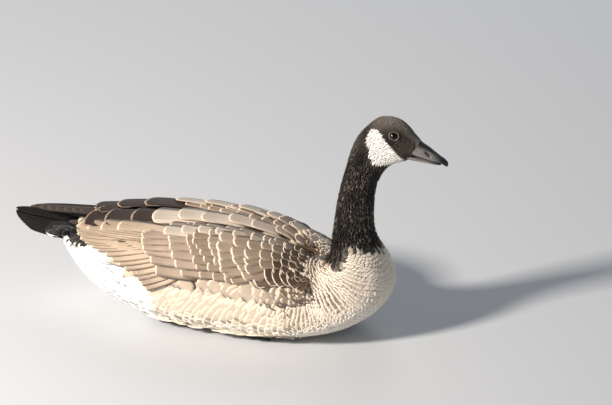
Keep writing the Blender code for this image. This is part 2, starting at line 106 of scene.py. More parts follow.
# The angle from the back at which the wing's feathers end and the flank's begin.
WING_EDGE = (
    (0, 0.75, 1.85, 2.85, 3.55, 4.05, 4.5, 5.15, 6.65, 6.95, 7.25, 7.65, 7.9, 8.1),
    (30, 50, 56, 58, 66, 74, 63, 59, 58, 58, 58, 55, 38, 8),
)

# Lines by the angle from the back, as rib numbers: where the neck's black and the black round the tail's
# root end, the two edges of the white cheek, and where the face ends at the bill.
STOCKING = ((0, 26, 48, 66, 74, 80, 92, 140, 180), (9.4, 10.2, 10.9, 11.3, 11.8, 12.4, 12.75, 12.85, 12.5))
TAIL_LINE = ((0, 40, 68, 98, 104, 180), (0.5, 1.0, 1.5, -0.1, -4, -4))
CHEEK_FRONT = (
    (38, 44, 52, 66, 86, 104, 126, 154, 180),
    (20.3, 20.6, 20.9, 21.1, 21.3, 21.8, 22.5, 23.3, 23.4),
)
CHEEK_REAR = (
    (38, 44, 56, 76, 94, 110, 128, 152, 180),
    (20.2, 19.9, 19.6, 19.4, 18.9, 18.6, 18.7, 19.3, 19.8),
)
BILL_LINE = (
    (0, 20, 36, 50, 60, 70, 90, 110, 128, 156, 180),
    (25.9, 25.9, 25.7, 25.5, 25.6, 25.85, 25.9, 25.7, 25.3, 25.3, 25.5),
)


def smoothstep(low, high, value):
    t = np.clip((np.asarray(value, float) - low) / (high - low), 0, 1)
    return t * t * (3 - 2 * t)


def by_table(table, value):
    return np.interp(value, table[0], table[1])


def mix(a, b, share):
    """Between a and b. share has one axis less than they do, as it holds for a whole colour."""
    share = np.asarray(share)[..., None]
    return a * (1 - share) + b * share


def unit(vectors):
    return vectors / np.linalg.norm(vectors, axis=-1, keepdims=True)


# Settings


def linear(hex_colour):
    """An sRGB hex colour as linear red, green and blue."""
    parts = np.array([int(hex_colour[i : i + 2], 16) / 255 for i in (1, 3, 5)])
    return np.where(parts <= 0.04045, parts / 12.92, ((parts + 0.055) / 1.055) ** 2.4)


def tint(name, hex_colour, text):
    """A colour setting."""
    return bpy.props.FloatVectorProperty(
        name=name, description=text, subtype="COLOR", size=3, min=0, max=1,
        default=linear(hex_colour).tolist())


def size(name, metres, text):
    """A length setting."""
    return bpy.props.FloatProperty(
        name=name, description=text, subtype="DISTANCE", unit="LENGTH", min=0, precision=4, default=metres)


class GooseColours(bpy.types.PropertyGroup):
    """Colours of the plumage, the bare parts and the studio."""

    breast: tint("Breast", "#e2d6c6", "Ground of the breast's feathers")
    belly: tint("Belly", "#efe8dc", "Feathers under the body")
    flank: tint("Flank", "#d6c6b1", "Ground of the flank's feathers where they are palest")
    flank_bar: tint("Flank bar", "#c6b19b", "Ground of the flank's feathers near the wing")
    flank_tip: tint("Flank tip", "#dfd0bc", "Fringes of the flank's feathers")
    bar: tint("Bar", "#8d7967", "Brown bars on the sides of the breast")
    shoulder: tint("Shoulder", "#6a5545", "Ground of the shoulder's dark feathers")
    shoulder_tip: tint("Shoulder tip", "#d3c3ae", "Fringes of the shoulder's small feathers")
    covert: tint("Covert", "#bfa996", "Ground of the wing's large coverts")
    covert_tip: tint("Covert tip", "#e2d4bf", "Fringes of the wing's coverts")
    scapular: tint("Scapular", "#b09a86", "Ground of the smaller coverts and scapulars")
    # Painted highlight: the scapulars on top of the back are painted paler for the sunlight that falls on
    # them.
    pale: tint("Pale scapular", "#eadac8", "Ground of the scapulars along the back that the sun brightens")
    secondary: tint("Secondary", "#c6b19a", "Ground of the wing's hindmost row")
    secondary_tip: tint("Secondary tip", "#e3d2b9", "Fringes of the wing's hindmost row")
    tertial: tint("Tertial", "#3c2e26", "Ground of the broad feathers over the back")
    tertial_tip: tint("Tertial tip", "#a8937e", "Fringes of the broad feathers over the back")
    primary: tint("Primary", "#3c322c", "Long flight feathers")
    primary_tip: tint("Primary tip", "#4e443c", "Fringes of the long flight feathers")
    rump: tint("Rump", "#2b2521", "Feathers of the rump")
    vent: tint("Vent", "#fefdfa", "White feathers round the tail's root")
    tail: tint("Tail", "#0d0b0a", "Ground of the tail's feathers")
    tail_tip: tint("Tail tip", "#2b2521", "Fringes of the tail's feathers")
    neck: tint("Neck", "#171310", "Ground of the neck's feathers")
    neck_tip: tint("Neck tip", "#75654f", "Lighter brown tips on the neck")
    crown: tint("Crown", "#968f89", "Feathers of the crown, greyed by the light of the sky")
    cheek: tint("Cheek", "#fdfbf5", "White patch of the cheek")
    lid: tint("Eyelid", "#ab9a83", "Bare ring of the eyelid")
    # Painted shade: near black painted into the hollows of the eyes' corners and of the nostrils, for the
    # shadow in them.
    skin_dark: tint("Dark skin", "#1a1614", "Skin in the eye's corners and the nostrils")
    iris: tint("Iris", "#2a1a10", "Brown of the eye")
    pupil: tint("Pupil", "#040303", "Middle of the eye")
    bill: tint("Bill", "#211f1e", "Horn of the bill")
    # Painted reflection: the grey of the bill's sides stands in for the sky mirrored in the black horn.
    bill_light: tint("Bill's side", "#8f8c88", "Lighter grey horn on the bill's sides")
    nail: tint("Nail", "#151413", "Nail at the bill's tip")
    leg: tint("Leg", "#2b2824", "Scaled skin of the legs and feet")
    floor: tint("Floor", "#c9ccd0", "Floor and backdrop")
    sky: tint("Sky", "#dfe7f0", "Even light from all round")
    key_light: tint("Key light", "#fff5ea", "Main light")
    fill_light: tint("Fill light", "#dfe9ff", "Weak light on the shaded side")
    rim_light: tint("Rim light", "#ffffff", "Light from behind")


class GooseSizes(bpy.types.PropertyGroup):
    """Sizes of the plumage, the eyes, the bill's details and the studio."""

    feather_spacing: bpy.props.FloatProperty(
        name="Feather spacing", description="Gaps between small feathers, as a multiple of the bird's own",
        default=1.0, min=0.5, max=3.0)
    covert_spacing: size("Tail covert spacing", 4.0 * MM, "Gap between the short coverts at the tail's root")
    tip_rise: size("Tip rise", 0.3 * MM, "How far the body feathers' tips stand out")
    flank_rise: size("Flank rise", 2.0 * MM, "How much farther they stand out where they lap over the wing")
    eye_radius: size("Eye radius", 6.2 * MM, "Radius of the eyeball")
    eye_rise: size("Eye rise", 2.4 * MM, "How far the eyeball stands out of the head")
    nostril_length: size("Nostril length", 9.6 * MM, "Length of the nostril along the bill")
    nostril_height: size("Nostril height", 3.0 * MM, "Height of the nostril")
    nostril_depth: size("Nostril depth", 1.7 * MM, "Depth of the nostril's hollow")
    floor_width: size("Floor", 12.0, "Width of the floor")
    key_size: size("Key light size", 0.4, "Width of the main light, which softens its shadows")
    key_power: bpy.props.FloatProperty(
        name="Key light power", description="Power of the main light", unit="POWER", default=130.0, min=0)
    sky_strength: bpy.props.FloatProperty(
        name="Sky strength", description="Strength of the light from all round", default=0.28, min=0)
    lens: bpy.props.FloatProperty(
        name="Lens", description="Focal length of the camera", unit="CAMERA", default=300.0, min=1)


def palette(context):
    """The scene's colours by name, as arrays."""
    chosen = context.scene.goose_colours
    return {name: np.array(getattr(chosen, name)) for name in GooseColours.__annotations__}


# Form of the bird


def curve_through(table, place):
    """Rows between those of a table, by a Catmull-Rom curve. place counts its rows from 0."""
    first = np.minimum(place.astype(int), len(table) - 2)
    t = (place - first)[:, None]
    a, b, c, d = (table[np.clip(first + k, 0, len(table) - 1)] for k in (-1, 0, 1, 2))
    return 0.5 * (2 * b + (c - a) * t + (2 * a - 5 * b + 4 * c - d) * t**2 + (3 * b - a - 3 * c + d) * t**3)


def leg_room(x, y):
    """How high the belly stands over the floor where the legs and feet lie."""
    x, y = x / MM, np.abs(y) / MM
    high = 13 - 3 * smoothstep(-50, -30, x)
    in_length = smoothstep(-112, -98, x) * smoothstep(100, 84, x)
    return high * MM * in_length * smoothstep(22, 30, y) * smoothstep(84, 76, y)


def surface(u, turn):
    """Points of the bird's outer surface. turn runs from the back towards -Y, its right side."""
    u, turn = np.broadcast_arrays(np.atleast_1d(u), np.atleast_1d(turn))
    place = np.clip(np.asarray(u.ravel(), float), FIRST_RIB, LAST_RIB) - FIRST_RIB
    back_x, back_z, low_x, low_z, half, square = curve_through(RIB_TABLE, place).T
    along, across = np.cos(turn.ravel()), np.sin(turn.ravel())
    along = np.sign(along) * np.abs(along) ** square
    across = np.sign(across) * np.abs(across) ** square
    x = (back_x + low_x) / 2 + (back_x - low_x) / 2 * along
    z = (back_z + low_z) / 2 + (back_z - low_z) / 2 * along
    y = -half * across
    z = np.maximum(z, leg_room(x, y))
    return np.stack([x, y, z], -1).reshape(*u.shape, 3)


def tangents(u, turn, step=0.03):
    """The surface's two directions and its outward unit normal."""
    low, high = np.clip(u - step, FIRST_RIB, None), np.clip(u + step, None, LAST_RIB)
    along = (surface(high, turn) - surface(low, turn)) / (high - low)[..., None]
    around = (surface(u, turn + step) - surface(u, turn - step)) / (2 * step)
    return along, around, unit(np.cross(around, along))


def rib_length(u, turn):
    """Metres along the surface from one rib to the next."""
    return np.linalg.norm(tangents(u, turn)[0], axis=-1)


def posed(points):
    """Tips the head to its left, with the turn fading out down the neck."""
    x, y, z = np.moveaxis(np.asarray(points, float), -1, 0)
    angle = HEAD_ROLL * smoothstep(ROLL_FROM_Z, ROLL_TO_Z, z)
    up = z - ROLL_TO_Z
    cos, sin = np.cos(angle), np.sin(angle)
    return np.stack([x, y * cos + up * sin, up * cos - y * sin + ROLL_TO_Z], -1)


def side_angle(turn):
    """The angle from the back in degrees, the same on both sides."""
    return np.degrees(np.abs((turn + math.pi) % TURN - math.pi))


def wing_depth(u, turn):
    """How far the folded wing stands out from the body's own surface."""
    degrees = side_angle(turn)
    over_back = 1.0 + 0.25 * np.exp(-(((degrees - 26) / 14) ** 2))
    at_front = 0.36 + 0.64 * smoothstep(9.5, 6.5, u)
    at_rear = 0.5 + 0.5 * smoothstep(1.0, 4.5, u)
    at_low = 1 - 0.5 * smoothstep(46, 70, degrees)
    return 9.5 * MM * over_back * at_front * at_rear * at_low


def wing_bed(u, turn):
    """The wing's depth, fading to nothing round its outline."""
    degrees = side_angle(turn)
    inside = smoothstep(2.0, 4.0, u) * smoothstep(9.6, 8.4, u)
    return wing_depth(u, turn) * inside * smoothstep(3, 11, degrees) * smoothstep(76, 58, degrees)


def coat_depth(u):
    return by_table(COAT_DEPTH, u) * MM


def eye_place(side):
    """The eye's place on the head and the outward direction there. side is -1 for the right."""
    u, turn = np.meshgrid(np.arange(20, 25, 0.05), np.arange(0.6, 1.9, 0.02))
    points = surface(u, turn)
    miss = np.hypot(points[..., 0] - EYE_AT[0], points[..., 2] - EYE_AT[1])
    best = np.unravel_index(np.argmin(miss), miss.shape)
    flip = np.array([1, -side, 1])
    normal = tangents(u[best][None], turn[best][None])[2][0]
    place = points[best] * flip
    return posed(place), unit(posed(place + normal * flip * MM) - posed(place))


EYES = {"right": eye_place(-1), "left": eye_place(1)}


def from_eye(points):
    """How far points lie from the nearer eye's middle, stretched to the lids' almond shape."""
    best = np.ones(points.shape[:-1])  # 1 m stands for far away
    for place, out in EYES.values():
        offset = points - place
        rise = offset @ out
        flat = offset - rise[..., None] * out
        reach = np.hypot(flat[..., 0] * 0.9, np.hypot(flat[..., 1], flat[..., 2]) * 1.12)
        best = np.minimum(best, np.where(np.abs(rise) < 9 * MM, reach, 1.0))
    return best


# Markings. Each part is laid over those before it, with ribs and degrees from the back as its limits.


class Paint:
    """The ground and tip colours of some feathers."""

    def __init__(self, ground, tip, shape):
        self.ground, self.tip = np.tile(ground, (*shape, 1)), np.tile(tip, (*shape, 1))

    def lay(self, share, ground, tip=None):
        self.ground = mix(self.ground, ground, share)
        if tip is not None:
            self.tip = mix(self.tip, tip, share)


def ripple(points, length, seed):
    """A smooth made-up pattern between 0 and 1, from sums of waves about as long as length."""
    rng = np.random.default_rng(seed)
    total = np.zeros(points.shape[:-1])
    for _ in range(5):
        way = rng.normal(size=3)
        way *= TURN / length / np.linalg.norm(way) * rng.uniform(0.6, 1.6)
        total = total + np.sin(points @ way + rng.uniform(0, TURN))
    return np.clip(0.5 + total / 6, 0, 1)


def mark_flank(paint, colours, u, degrees, uneven):
    """The flank, browner towards the wing, and the belly."""
    flank = smoothstep(9.2, 7.6, u) * smoothstep(44, 60, degrees) * smoothstep(130, 110, degrees)
    shaded = smoothstep(112, 62, degrees) * (0.35 + 0.5 * uneven)
    paint.lay(flank, mix(colours["flank"], colours["flank_bar"], shaded), colours["flank_tip"])
    low = smoothstep(106, 130, degrees) * smoothstep(11, 9, u)
    paint.lay(low, colours["belly"], colours["belly"])


def mark_breast(paint, colours, u, degrees, uneven, points):
    """The brown bars on the breast's sides and the dark shoulder."""
    faint = smoothstep(7.2, 8.0, u) * smoothstep(125, 95, degrees)
    paint.lay(faint * 0.45, colours["bar"])
    barred = smoothstep(7.0, 7.8, u) * smoothstep(12.0, 9.6, u) * smoothstep(112, 76, degrees + 14 * uneven)
    patchy = 0.5 + 0.9 * ripple(points, 30 * MM, 6)
    paint.lay(np.clip(barred * patchy, 0, 1), colours["bar"])
    shoulder = smoothstep(6.9, 7.5, u) * smoothstep(10.6, 9.2, u + 0.012 * degrees)
    shoulder = shoulder * smoothstep(61, 50, degrees + 10 * (uneven - 0.5))
    paint.lay(shoulder, colours["shoulder"], colours["shoulder_tip"])


def mark_rear(paint, colours, u, degrees, uneven):
    """The dark rump, the white vent and the black round the tail's root."""
    rump = smoothstep(3.8, 3.2, u) * smoothstep(46, 36, degrees) * smoothstep(0.6, 1.0, u)
    paint.lay(rump, colours["rump"], colours["rump"])
    vent_line = 4.35 - 1.75 * smoothstep(82, 60, degrees)
    vent = smoothstep(vent_line + 0.08, vent_line - 0.04, u) * (1 - rump)
    paint.lay(vent, colours["vent"], colours["vent"])
    tail_line = by_table(TAIL_LINE, degrees) + 0.1 * (uneven - 0.5)
    paint.lay(smoothstep(tail_line + 0.1, tail_line - 0.1, u), colours["tail"], colours["tail_tip"])


def mark_head(paint, colours, u, degrees, uneven, points):
    """The black neck with its ragged lower edge, the greyer crown and the white cheek."""
    edge = by_table(STOCKING, degrees) + 0.25 * (ripple(points, 8 * MM, 5) - 0.5)
    black = smoothstep(edge - 0.05, edge + 0.05, u)
    paint.lay(black, mix(colours["neck"], colours["crown"], 0.2 * uneven),
              mix(colours["neck"], colours["neck_tip"], 0.55 * uneven))
    crown = smoothstep(19.5, 22, u) * smoothstep(62, 26, degrees)
    paint.ground = mix(paint.ground, colours["crown"], crown * 0.9)
    paint.tip = mix(paint.tip, colours["neck_tip"], crown * 0.5)
    jag = 0.16 * (ripple(points, 6 * MM, 9) - 0.5)
    front, rear = by_table(CHEEK_FRONT, degrees) + jag, by_table(CHEEK_REAR, degrees) + jag
    cheek = smoothstep(rear - 0.05, rear + 0.05, u) * smoothstep(front + 0.05, front - 0.05, u)
    paint.lay(cheek * smoothstep(37, 41, degrees), colours["cheek"], colours["cheek"])


def markings(colours, u, turn, points):
    """Ground and tip colours of the small feathers, and of the skin beneath them."""
    degrees, uneven = side_angle(turn), ripple(points, 30 * MM, 3)
    paint = Paint(colours["breast"], colours["breast"] * 1.1, u.shape)
    mark_flank(paint, colours, u, degrees, uneven)
    mark_breast(paint, colours, u, degrees, uneven, points)
    mark_rear(paint, colours, u, degrees, uneven)
    mark_head(paint, colours, u, degrees, uneven, points)
    return np.clip(paint.ground, 0, 1), np.clip(paint.tip, 0, 1)


# Materials

MATH, VECTOR_MATH = "ShaderNodeMath", "ShaderNodeVectorMath"
STEP, NOISE = "ShaderNodeMapRange", "ShaderNodeTexNoise"
SMOOTH = {"interpolation_type": "SMOOTHSTEP"}  # a STEP's sockets are: value, from low, from high, start, end

# One kind of feather: where along the vane the fringe starts and how softly, the vane's length and the gap
# between its barbs in millimetres, how dark the shaft and the root are, how much of the fringe runs down
# the sides, how much the ground darkens towards it, the roughness and the sheen.
# Real barbs are about 0.4 mm apart, too fine to show where a pixel covers about 1 mm. They are drawn
# 0.65 mm apart on the short feathers and 1.5 to 2 mm apart on the others.
Vane = namedtuple("Vane", "fringe soft length barb shaft root sides dusk roughness sheen",
                  defaults=(1.0, 0.0, 0.6, 0.2))
VANES = {
    "soft_plumage": Vane(0.84, 0.08, 22.0, 2.0, 0.0, 0.1, sides=0.88),
    "short_plumage": Vane(0.62, 0.2, 5.2, 0.65, 0.0, 0.25, sides=0.0, sheen=0.03),
    "wing_plumage": Vane(0.948, 0.03, 39.0, 1.5, 0.10, 0.15, sides=1.02, dusk=0.36, sheen=0.04),
    "primary_plumage": Vane(0.95, 0.03, 100.0, 2.0, 0.25, 0.2, sheen=0.05),
    "tail_plumage": Vane(0.97, 0.03, 80.5, 1.75, 0.3, 0.1, roughness=0.7, sheen=0.0),
}
FEATHER_PATCH, FEATHER_CLOUD = 2.381 * MM, 11.11 * MM  # ragged edges of the fringe, and uneven wear
SKIN_MOTTLE, SKIN_PORES = 2.381 * MM, 1.111 * MM  # pores are finer in life, and too fine to show
HORN_CLOUD, HORN_GRAIN = 3.333 * MM, 0.7143 * MM
LEG_PLATES = 2.083 * MM  # across one scale


def add_node(tree, kind, sockets=(), **settings):
    """Adds a node, sets its properties, and fills its sockets by number or by name.

    A socket takes a value, another node's output, or a node, which stands for its first output.
    """
    made = tree.nodes.new(kind)
    for name, value in settings.items():
        setattr(made, name, value)
    for name, value in sockets.items() if isinstance(sockets, dict) else enumerate(sockets):
        value = value.outputs[0] if isinstance(value, bpy.types.Node) else value
        if isinstance(value, bpy.types.NodeSocket):
            tree.links.new(value, made.inputs[name])
        else:
            made.inputs[name].default_value = value
    return made


def new_material(name, **sockets):
    made = bpy.data.materials.new(name)
    made.use_nodes = True
    shader = made.node_tree.nodes["Principled BSDF"]
    for key, value in sockets.items():
        shader.inputs[key.replace("_", " ")].default_value = value
    return made, made.node_tree, shader


def finish_material(tree, shader, colour, height, distance, strength):
    """Gives a shader its colour and its relief, distance metres deep."""
    relief = add_node(tree, "ShaderNodeBump", {"Height": height, "Distance": distance, "Strength": strength})
    tree.links.new(colour.outputs[0], shader.inputs["Base Color"])
    tree.links.new(relief.outputs[0], shader.inputs["Normal"])


def fringed_colour(tree, vane, off_shaft, along, patches):
    """A feather's ground colour, and its tip's colour in a ragged fringe along the edge."""
    ground, tip = (add_node(tree, "ShaderNodeAttribute", attribute_name=name) for name in ("ground", "tip"))
    down_side = add_node(tree, STEP, (along, 0.2, 0.8, 0.0, vane.sides), **SMOOTH)
    reach = add_node(tree, MATH, (off_shaft, down_side), operation="MULTIPLY")
    edge = add_node(tree, MATH, (reach, along), operation="MAXIMUM")
    ragged = add_node(tree, MATH, (patches, 0.10, -0.05), operation="MULTIPLY_ADD")
    edge = add_node(tree, MATH, (edge, ragged), operation="ADD")
    fringe = add_node(tree, STEP, (edge, vane.fringe, vane.fringe + vane.soft, 0.0, 1.0), **SMOOTH)
    outwards = add_node(tree, STEP, (along, 0.3, 0.9, 0.0, 1.0), **SMOOTH)
    dark = add_node(tree, MATH, (outwards, -vane.dusk, 1.0), operation="MULTIPLY_ADD")
    ground = add_node(tree, VECTOR_MATH, (ground, dark), operation="MULTIPLY")
    return add_node(tree, "ShaderNodeMix", {0: fringe, 6: ground, 7: tip}, data_type="RGBA").outputs[2]


def barbs(tree, vane, off_shaft, along):
    """Waves from 0 to 1 that slant from the shaft towards the tip, one for each barb that is drawn."""
    count = vane.length / vane.barb
    far = add_node(tree, MATH, (along, count), operation="MULTIPLY")
    back = add_node(tree, MATH, (off_shaft, count * 0.45), operation="MULTIPLY")
    slant = add_node(tree, MATH, (far, back), operation="SUBTRACT")
    phase = add_node(tree, MATH, (slant, TURN), operation="MULTIPLY")
    wave = add_node(tree, MATH, (phase,), operation="SINE")
    return add_node(tree, MATH, (wave, 0.5, 0.5), operation="MULTIPLY_ADD")


def vane_shade(tree, vane, along, near_shaft, ribbing, clouds):
    """How light a feather is: its barbs, its shaft, its root in shade, and uneven wear."""
    shade = add_node(tree, MATH, (ribbing, 0.05, 0.96), operation="MULTIPLY_ADD")
    for part in (
        add_node(tree, MATH, (near_shaft, -vane.shaft, 1.0), operation="MULTIPLY_ADD"),
        add_node(tree, STEP, (along, 0.05, 0.75, 1.0 - vane.root, 1.0), **SMOOTH),
        add_node(tree, MATH, (clouds, 0.24, 0.88), operation="MULTIPLY_ADD"),
    ):
        shade = add_node(tree, MATH, (shade, part), operation="MULTIPLY")
    return shade


def feather_material(name):
    """Plumage: keratin grown as flat vanes of barbs, matt, with low gloss and at most a faint sheen.

    The barbs break the light up, so nothing mirrors. The eye gets a soft ground, a paler fringe, a thin
    shaft and slanting barbs.
    """
    vane = VANES[name]
    made, tree, shader = new_material(
        name, Roughness=vane.roughness, Specular_IOR_Level=0.2, Sheen_Weight=vane.sheen, Sheen_Roughness=0.5)
    place = add_node(tree, "ShaderNodeTexCoord").outputs["Object"]
    patches, clouds = (
        add_node(tree, NOISE, {"Vector": place, "Scale": 1 / width, "Detail": 3.0, "Roughness": 0.6})
        for width in (FEATHER_PATCH, FEATHER_CLOUD))
    on_vane = add_node(tree, "ShaderNodeUVMap", uv_map="Vane")
    across, along, _ = add_node(tree, "ShaderNodeSeparateXYZ", (on_vane,)).outputs
    from_shaft = add_node(tree, MATH, (across, 2.0, -1.0), operation="MULTIPLY_ADD")
    off_shaft = add_node(tree, MATH, (from_shaft,), operation="ABSOLUTE")
    near_shaft = add_node(tree, STEP, (off_shaft, 0.02, 0.10, 1.0, 0.0), **SMOOTH)
    ribbing = barbs(tree, vane, off_shaft, along)
    colour = fringed_colour(tree, vane, off_shaft, along, patches)
    shade = vane_shade(tree, vane, along, near_shaft, ribbing, clouds)
    lit = add_node(tree, VECTOR_MATH, (colour, shade), operation="MULTIPLY")
    height = add_node(tree, MATH, (near_shaft, 1.5, ribbing), operation="MULTIPLY_ADD")
    finish_material(tree, shader, lit, height, 0.06 * MM, 0.4)
    return made


def mottled_material(name, cloud, detail, swing, least, grain, grain_detail, strength, **sockets):
    """A material of the mesh's own colours, mottled by clouds, with a fine grain in relief."""
    made, tree, shader = new_material(name, **sockets)
    place = add_node(tree, "ShaderNodeTexCoord").outputs["Object"]
    clouds, relief = (
        add_node(tree, NOISE, {"Vector": place, "Scale": 1 / width, "Detail": fine, "Roughness": 0.6})
        for width, fine in ((cloud, detail), (grain, grain_detail)))
    shade = add_node(tree, MATH, (clouds, swing, least), operation="MULTIPLY_ADD")
    ground = add_node(tree, "ShaderNodeAttribute", attribute_name="ground")
    colour = add_node(tree, VECTOR_MATH, (ground, shade), operation="MULTIPLY")
    finish_material(tree, shader, colour, relief, 0.2 * MM, strength)
    return made


# Vanes


def new_piece(name, mesh, material):
    mesh.materials.append(material)
    piece = bpy.data.objects.new(name, mesh)
    bpy.context.scene.collection.objects.link(piece)
    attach(piece, "root")
    return piece


def set_colours(mesh, name, colours):
    layer = mesh.attributes.new(name, "FLOAT_COLOR", "POINT")
    filled = np.hstack([colours, np.ones((len(colours), 1))])
    layer.data.foreach_set("color", filled.astype(np.float32).ravel())


class Coat:
    """Gathers closed feather vanes of one pattern and joins them into pieces."""

    MOST_TRIANGLES = 190000
    PATCH = 0.003  # of a vane on the skin's map

    def __init__(self, name, columns, steps, widths):
        """steps are places from root to tip, and widths the shares of the half width there."""
        self.name, self.columns = name, columns
        self.steps, self.widths = np.array(steps, float), np.array(widths)
        self.batches = []

    def add(self, middle, side, normal, low, high, camber, wrap, bow, ground, tip, root):
        """Adds vanes.

        middle, side and normal are (vane, step, xyz); low and high the half widths (vane, step);
        camber the shaft line's rise, wrap the curve across, as one over its radius, and bow how far
        the edges end short of the tip, as a share of the half width; ground and tip the colours
        (vane, rgb) and root the place on the skin's map (vane, 2).
        """
        across = np.linspace(-1, 1, self.columns)
        width = np.where(across[None, None] < 0, low[..., None], high[..., None]) * across
        rise = camber[:, None, None] * (1 - across**2) - width**2 / 2 * wrap
        forward = unit(np.gradient(middle, axis=1))
        short = bow * (low + high)[..., None] / 2 * across**2 * (self.steps**3)[None, :, None]
        points = middle[:, :, None] + side[:, :, None] * width[..., None]
        points = points + normal[:, :, None] * rise[..., None]
        points = posed(points - forward[:, :, None] * short[..., None])
        points[..., 2] = np.maximum(points[..., 2], LOWEST_VANE)
        self.batches.append((points.reshape(len(points), -1, 3), ground, tip, root))

    def pattern(self):
        """The faces of one vane, and how many of them are its upper grid.

        The rest are the flat underside and the two ends.
        """
        wide, long = self.columns, len(self.steps)
        rows = [(k * wide, (k + 1) * wide) for k in range(long - 1)]
        upper = [(a + j, b + j, b + j + 1, a + j + 1) for a, b in rows for j in range(wide - 1)]
        under = [(a, a + wide - 1, b + wide - 1, b) for a, b in rows]
        ends = [tuple(range(wide)), tuple(reversed(range((long - 1) * wide, long * wide)))]
        return upper + under + ends, len(upper)

    def pieces(self, material):
        faces, upper = self.pattern()
        triangles = sum(len(face) - 2 for face in faces)
        vanes = sum(len(points) for points, *_ in self.batches)
        if not vanes:
            raise ValueError(f"{self.name} has no feathers")
        batch = [np.concatenate(part) for part in zip(*self.batches)]
        each = self.MOST_TRIANGLES // triangles
        count = math.ceil(vanes / each)
        for number in range(count):
            name = self.name if count == 1 else f"{self.name}_{number + 1}"
            part = (values[number * each : (number + 1) * each] for values in batch)
            new_piece(name, self.mesh(name, faces, upper, *part), material)

    def mesh(self, name, faces, upper, points, ground, tip, root):
        """One mesh of many vanes, with smooth upper sides, its two maps and its two colours."""
        vanes, each = points.shape[:2]
        loops = np.array([vertex for face in faces for vertex in face])
        sizes = np.array([len(face) for face in faces])
        offsets = (np.arange(vanes) * each)[:, None]
        mesh = bpy.data.meshes.new(name)
        mesh.vertices.add(vanes * each)
        mesh.vertices.foreach_set("co", points.astype(np.float32).ravel())
        mesh.loops.add(vanes * len(loops))
        mesh.loops.foreach_set("vertex_index", (loops[None] + offsets).astype(np.int32).ravel())
        mesh.polygons.add(vanes * len(faces))
        starts = np.concatenate([[0], np.cumsum(np.tile(sizes, vanes))[:-1]])
        mesh.polygons.foreach_set("loop_start", starts.astype(np.int32))
        flat = np.tile(np.arange(len(faces)) >= upper, vanes)
        mesh.attributes.new("sharp_face", "BOOLEAN", "FACE").data.foreach_set("value", flat)
        self.add_maps(mesh, loops, root)
        for key, colours in (("ground", ground), ("tip", tip)):
            set_colours(mesh, key, np.repeat(colours, each, axis=0))
        mesh.update(calc_edges=True)
        mesh.validate()
        return mesh

    def add_maps(self, mesh, loops, root):
        """OFBake holds each vane as a small patch at its root's place, and Vane the place on the vane."""
        grid = np.stack(np.meshgrid(self.steps, np.linspace(0, 1, self.columns), indexing="ij"), -1)
        on_vane = np.tile(grid.reshape(-1, 2)[loops][:, ::-1], (len(root), 1))
        on_skin = np.repeat(root, len(loops), axis=0) + (on_vane - 0.5) * self.PATCH
        for name, values in (("OFBake", on_skin), ("Vane", on_vane)):
            layer = mesh.uv_layers.new(name=name, do_init=False)
            layer.uv.foreach_set("vector", values.astype(np.float32).ravel())


# Small feathers

MAP_EDGE = 0.01  # left free round the skin's map
VANE_STEPS, VANE_WIDTHS = (0, 0.35, 0.6, 0.8, 0.92, 1), (0.6, 0.92, 1.04, 1.08, 1.04, 0.92)
NECK_STEPS, NECK_WIDTHS = (0, 0.45, 0.8, 1), (0.6, 1.0, 0.7, 0.2)

# How small feathers are shaped: the curve across, as one over its radius in metres, how far their edges
# end short of the tip, as a share of the half width, and how much they are twisted at random, in radians.
Curl = namedtuple("Curl", "wrap bow twist")
BODY_CURL, COVERT_CURL, NECK_CURL = Curl(14.0, 0.3, 0.02), Curl(20.0, 0.3, 0.04), Curl(20.0, 0.0, 0.09)

BODY_FROM, BODY_TO = -1.9, 12.95  # ribs between which the body's rows lie
BREAST_FROM = 7.5
WING_FROM, WING_TO = 0.5, 8.05  # ribs between which the wing covers the back
COVERTS_TO, COVERTS_DOWN_TO = 1.3, 108  # behind this rib and down to this angle, coverts lie instead


def on_map(u, turn):
    """A place on the skin's unwrap: round the bird, then along it."""
    shares = np.stack([(turn / TURN + 0.5) % 1, (u - FIRST_RIB) / (LAST_RIB - FIRST_RIB)], -1)
    return shares * (1 - 2 * MAP_EDGE) + MAP_EDGE


def lie_of_feathers(u, turn, swirl):
    """The surface's two directions, and unit vectors along the lie of the feathers.

    The feathers lie towards the tail. swirl turns them down the side, in radians.
    """
    along, around, normal = tangents(u, turn)
    back = unit(-along)
    down = np.cross(normal, back) * np.sign(np.sin(turn))[:, None]
    return along, around, back * np.cos(swirl)[:, None] + down * np.sin(swirl)[:, None]


def steps_on_surface(u, turn, swirl, length):
    """The change of rib number and of angle that moves a length along the lie of the feathers."""
    along, around, heading = lie_of_feathers(u, turn, swirl)
    move = heading * length[:, None]
    aa, ab, bb = ((p * q).sum(-1) for p, q in ((along, along), (along, around), (around, around)))
    pa, pb = (along * move).sum(-1), (around * move).sum(-1)
    det = aa * bb - ab**2
    return (pa * bb - pb * ab) / det, (pb * aa - pa * ab) / det


def root_places(u, turn, swirl, length, last=None):
    """Where feathers of a length are rooted whose tips lie at u and turn."""
    du, dt = steps_on_surface(u, turn, swirl, length)
    return np.clip(u - du, FIRST_RIB + 0.1, last), turn - dt


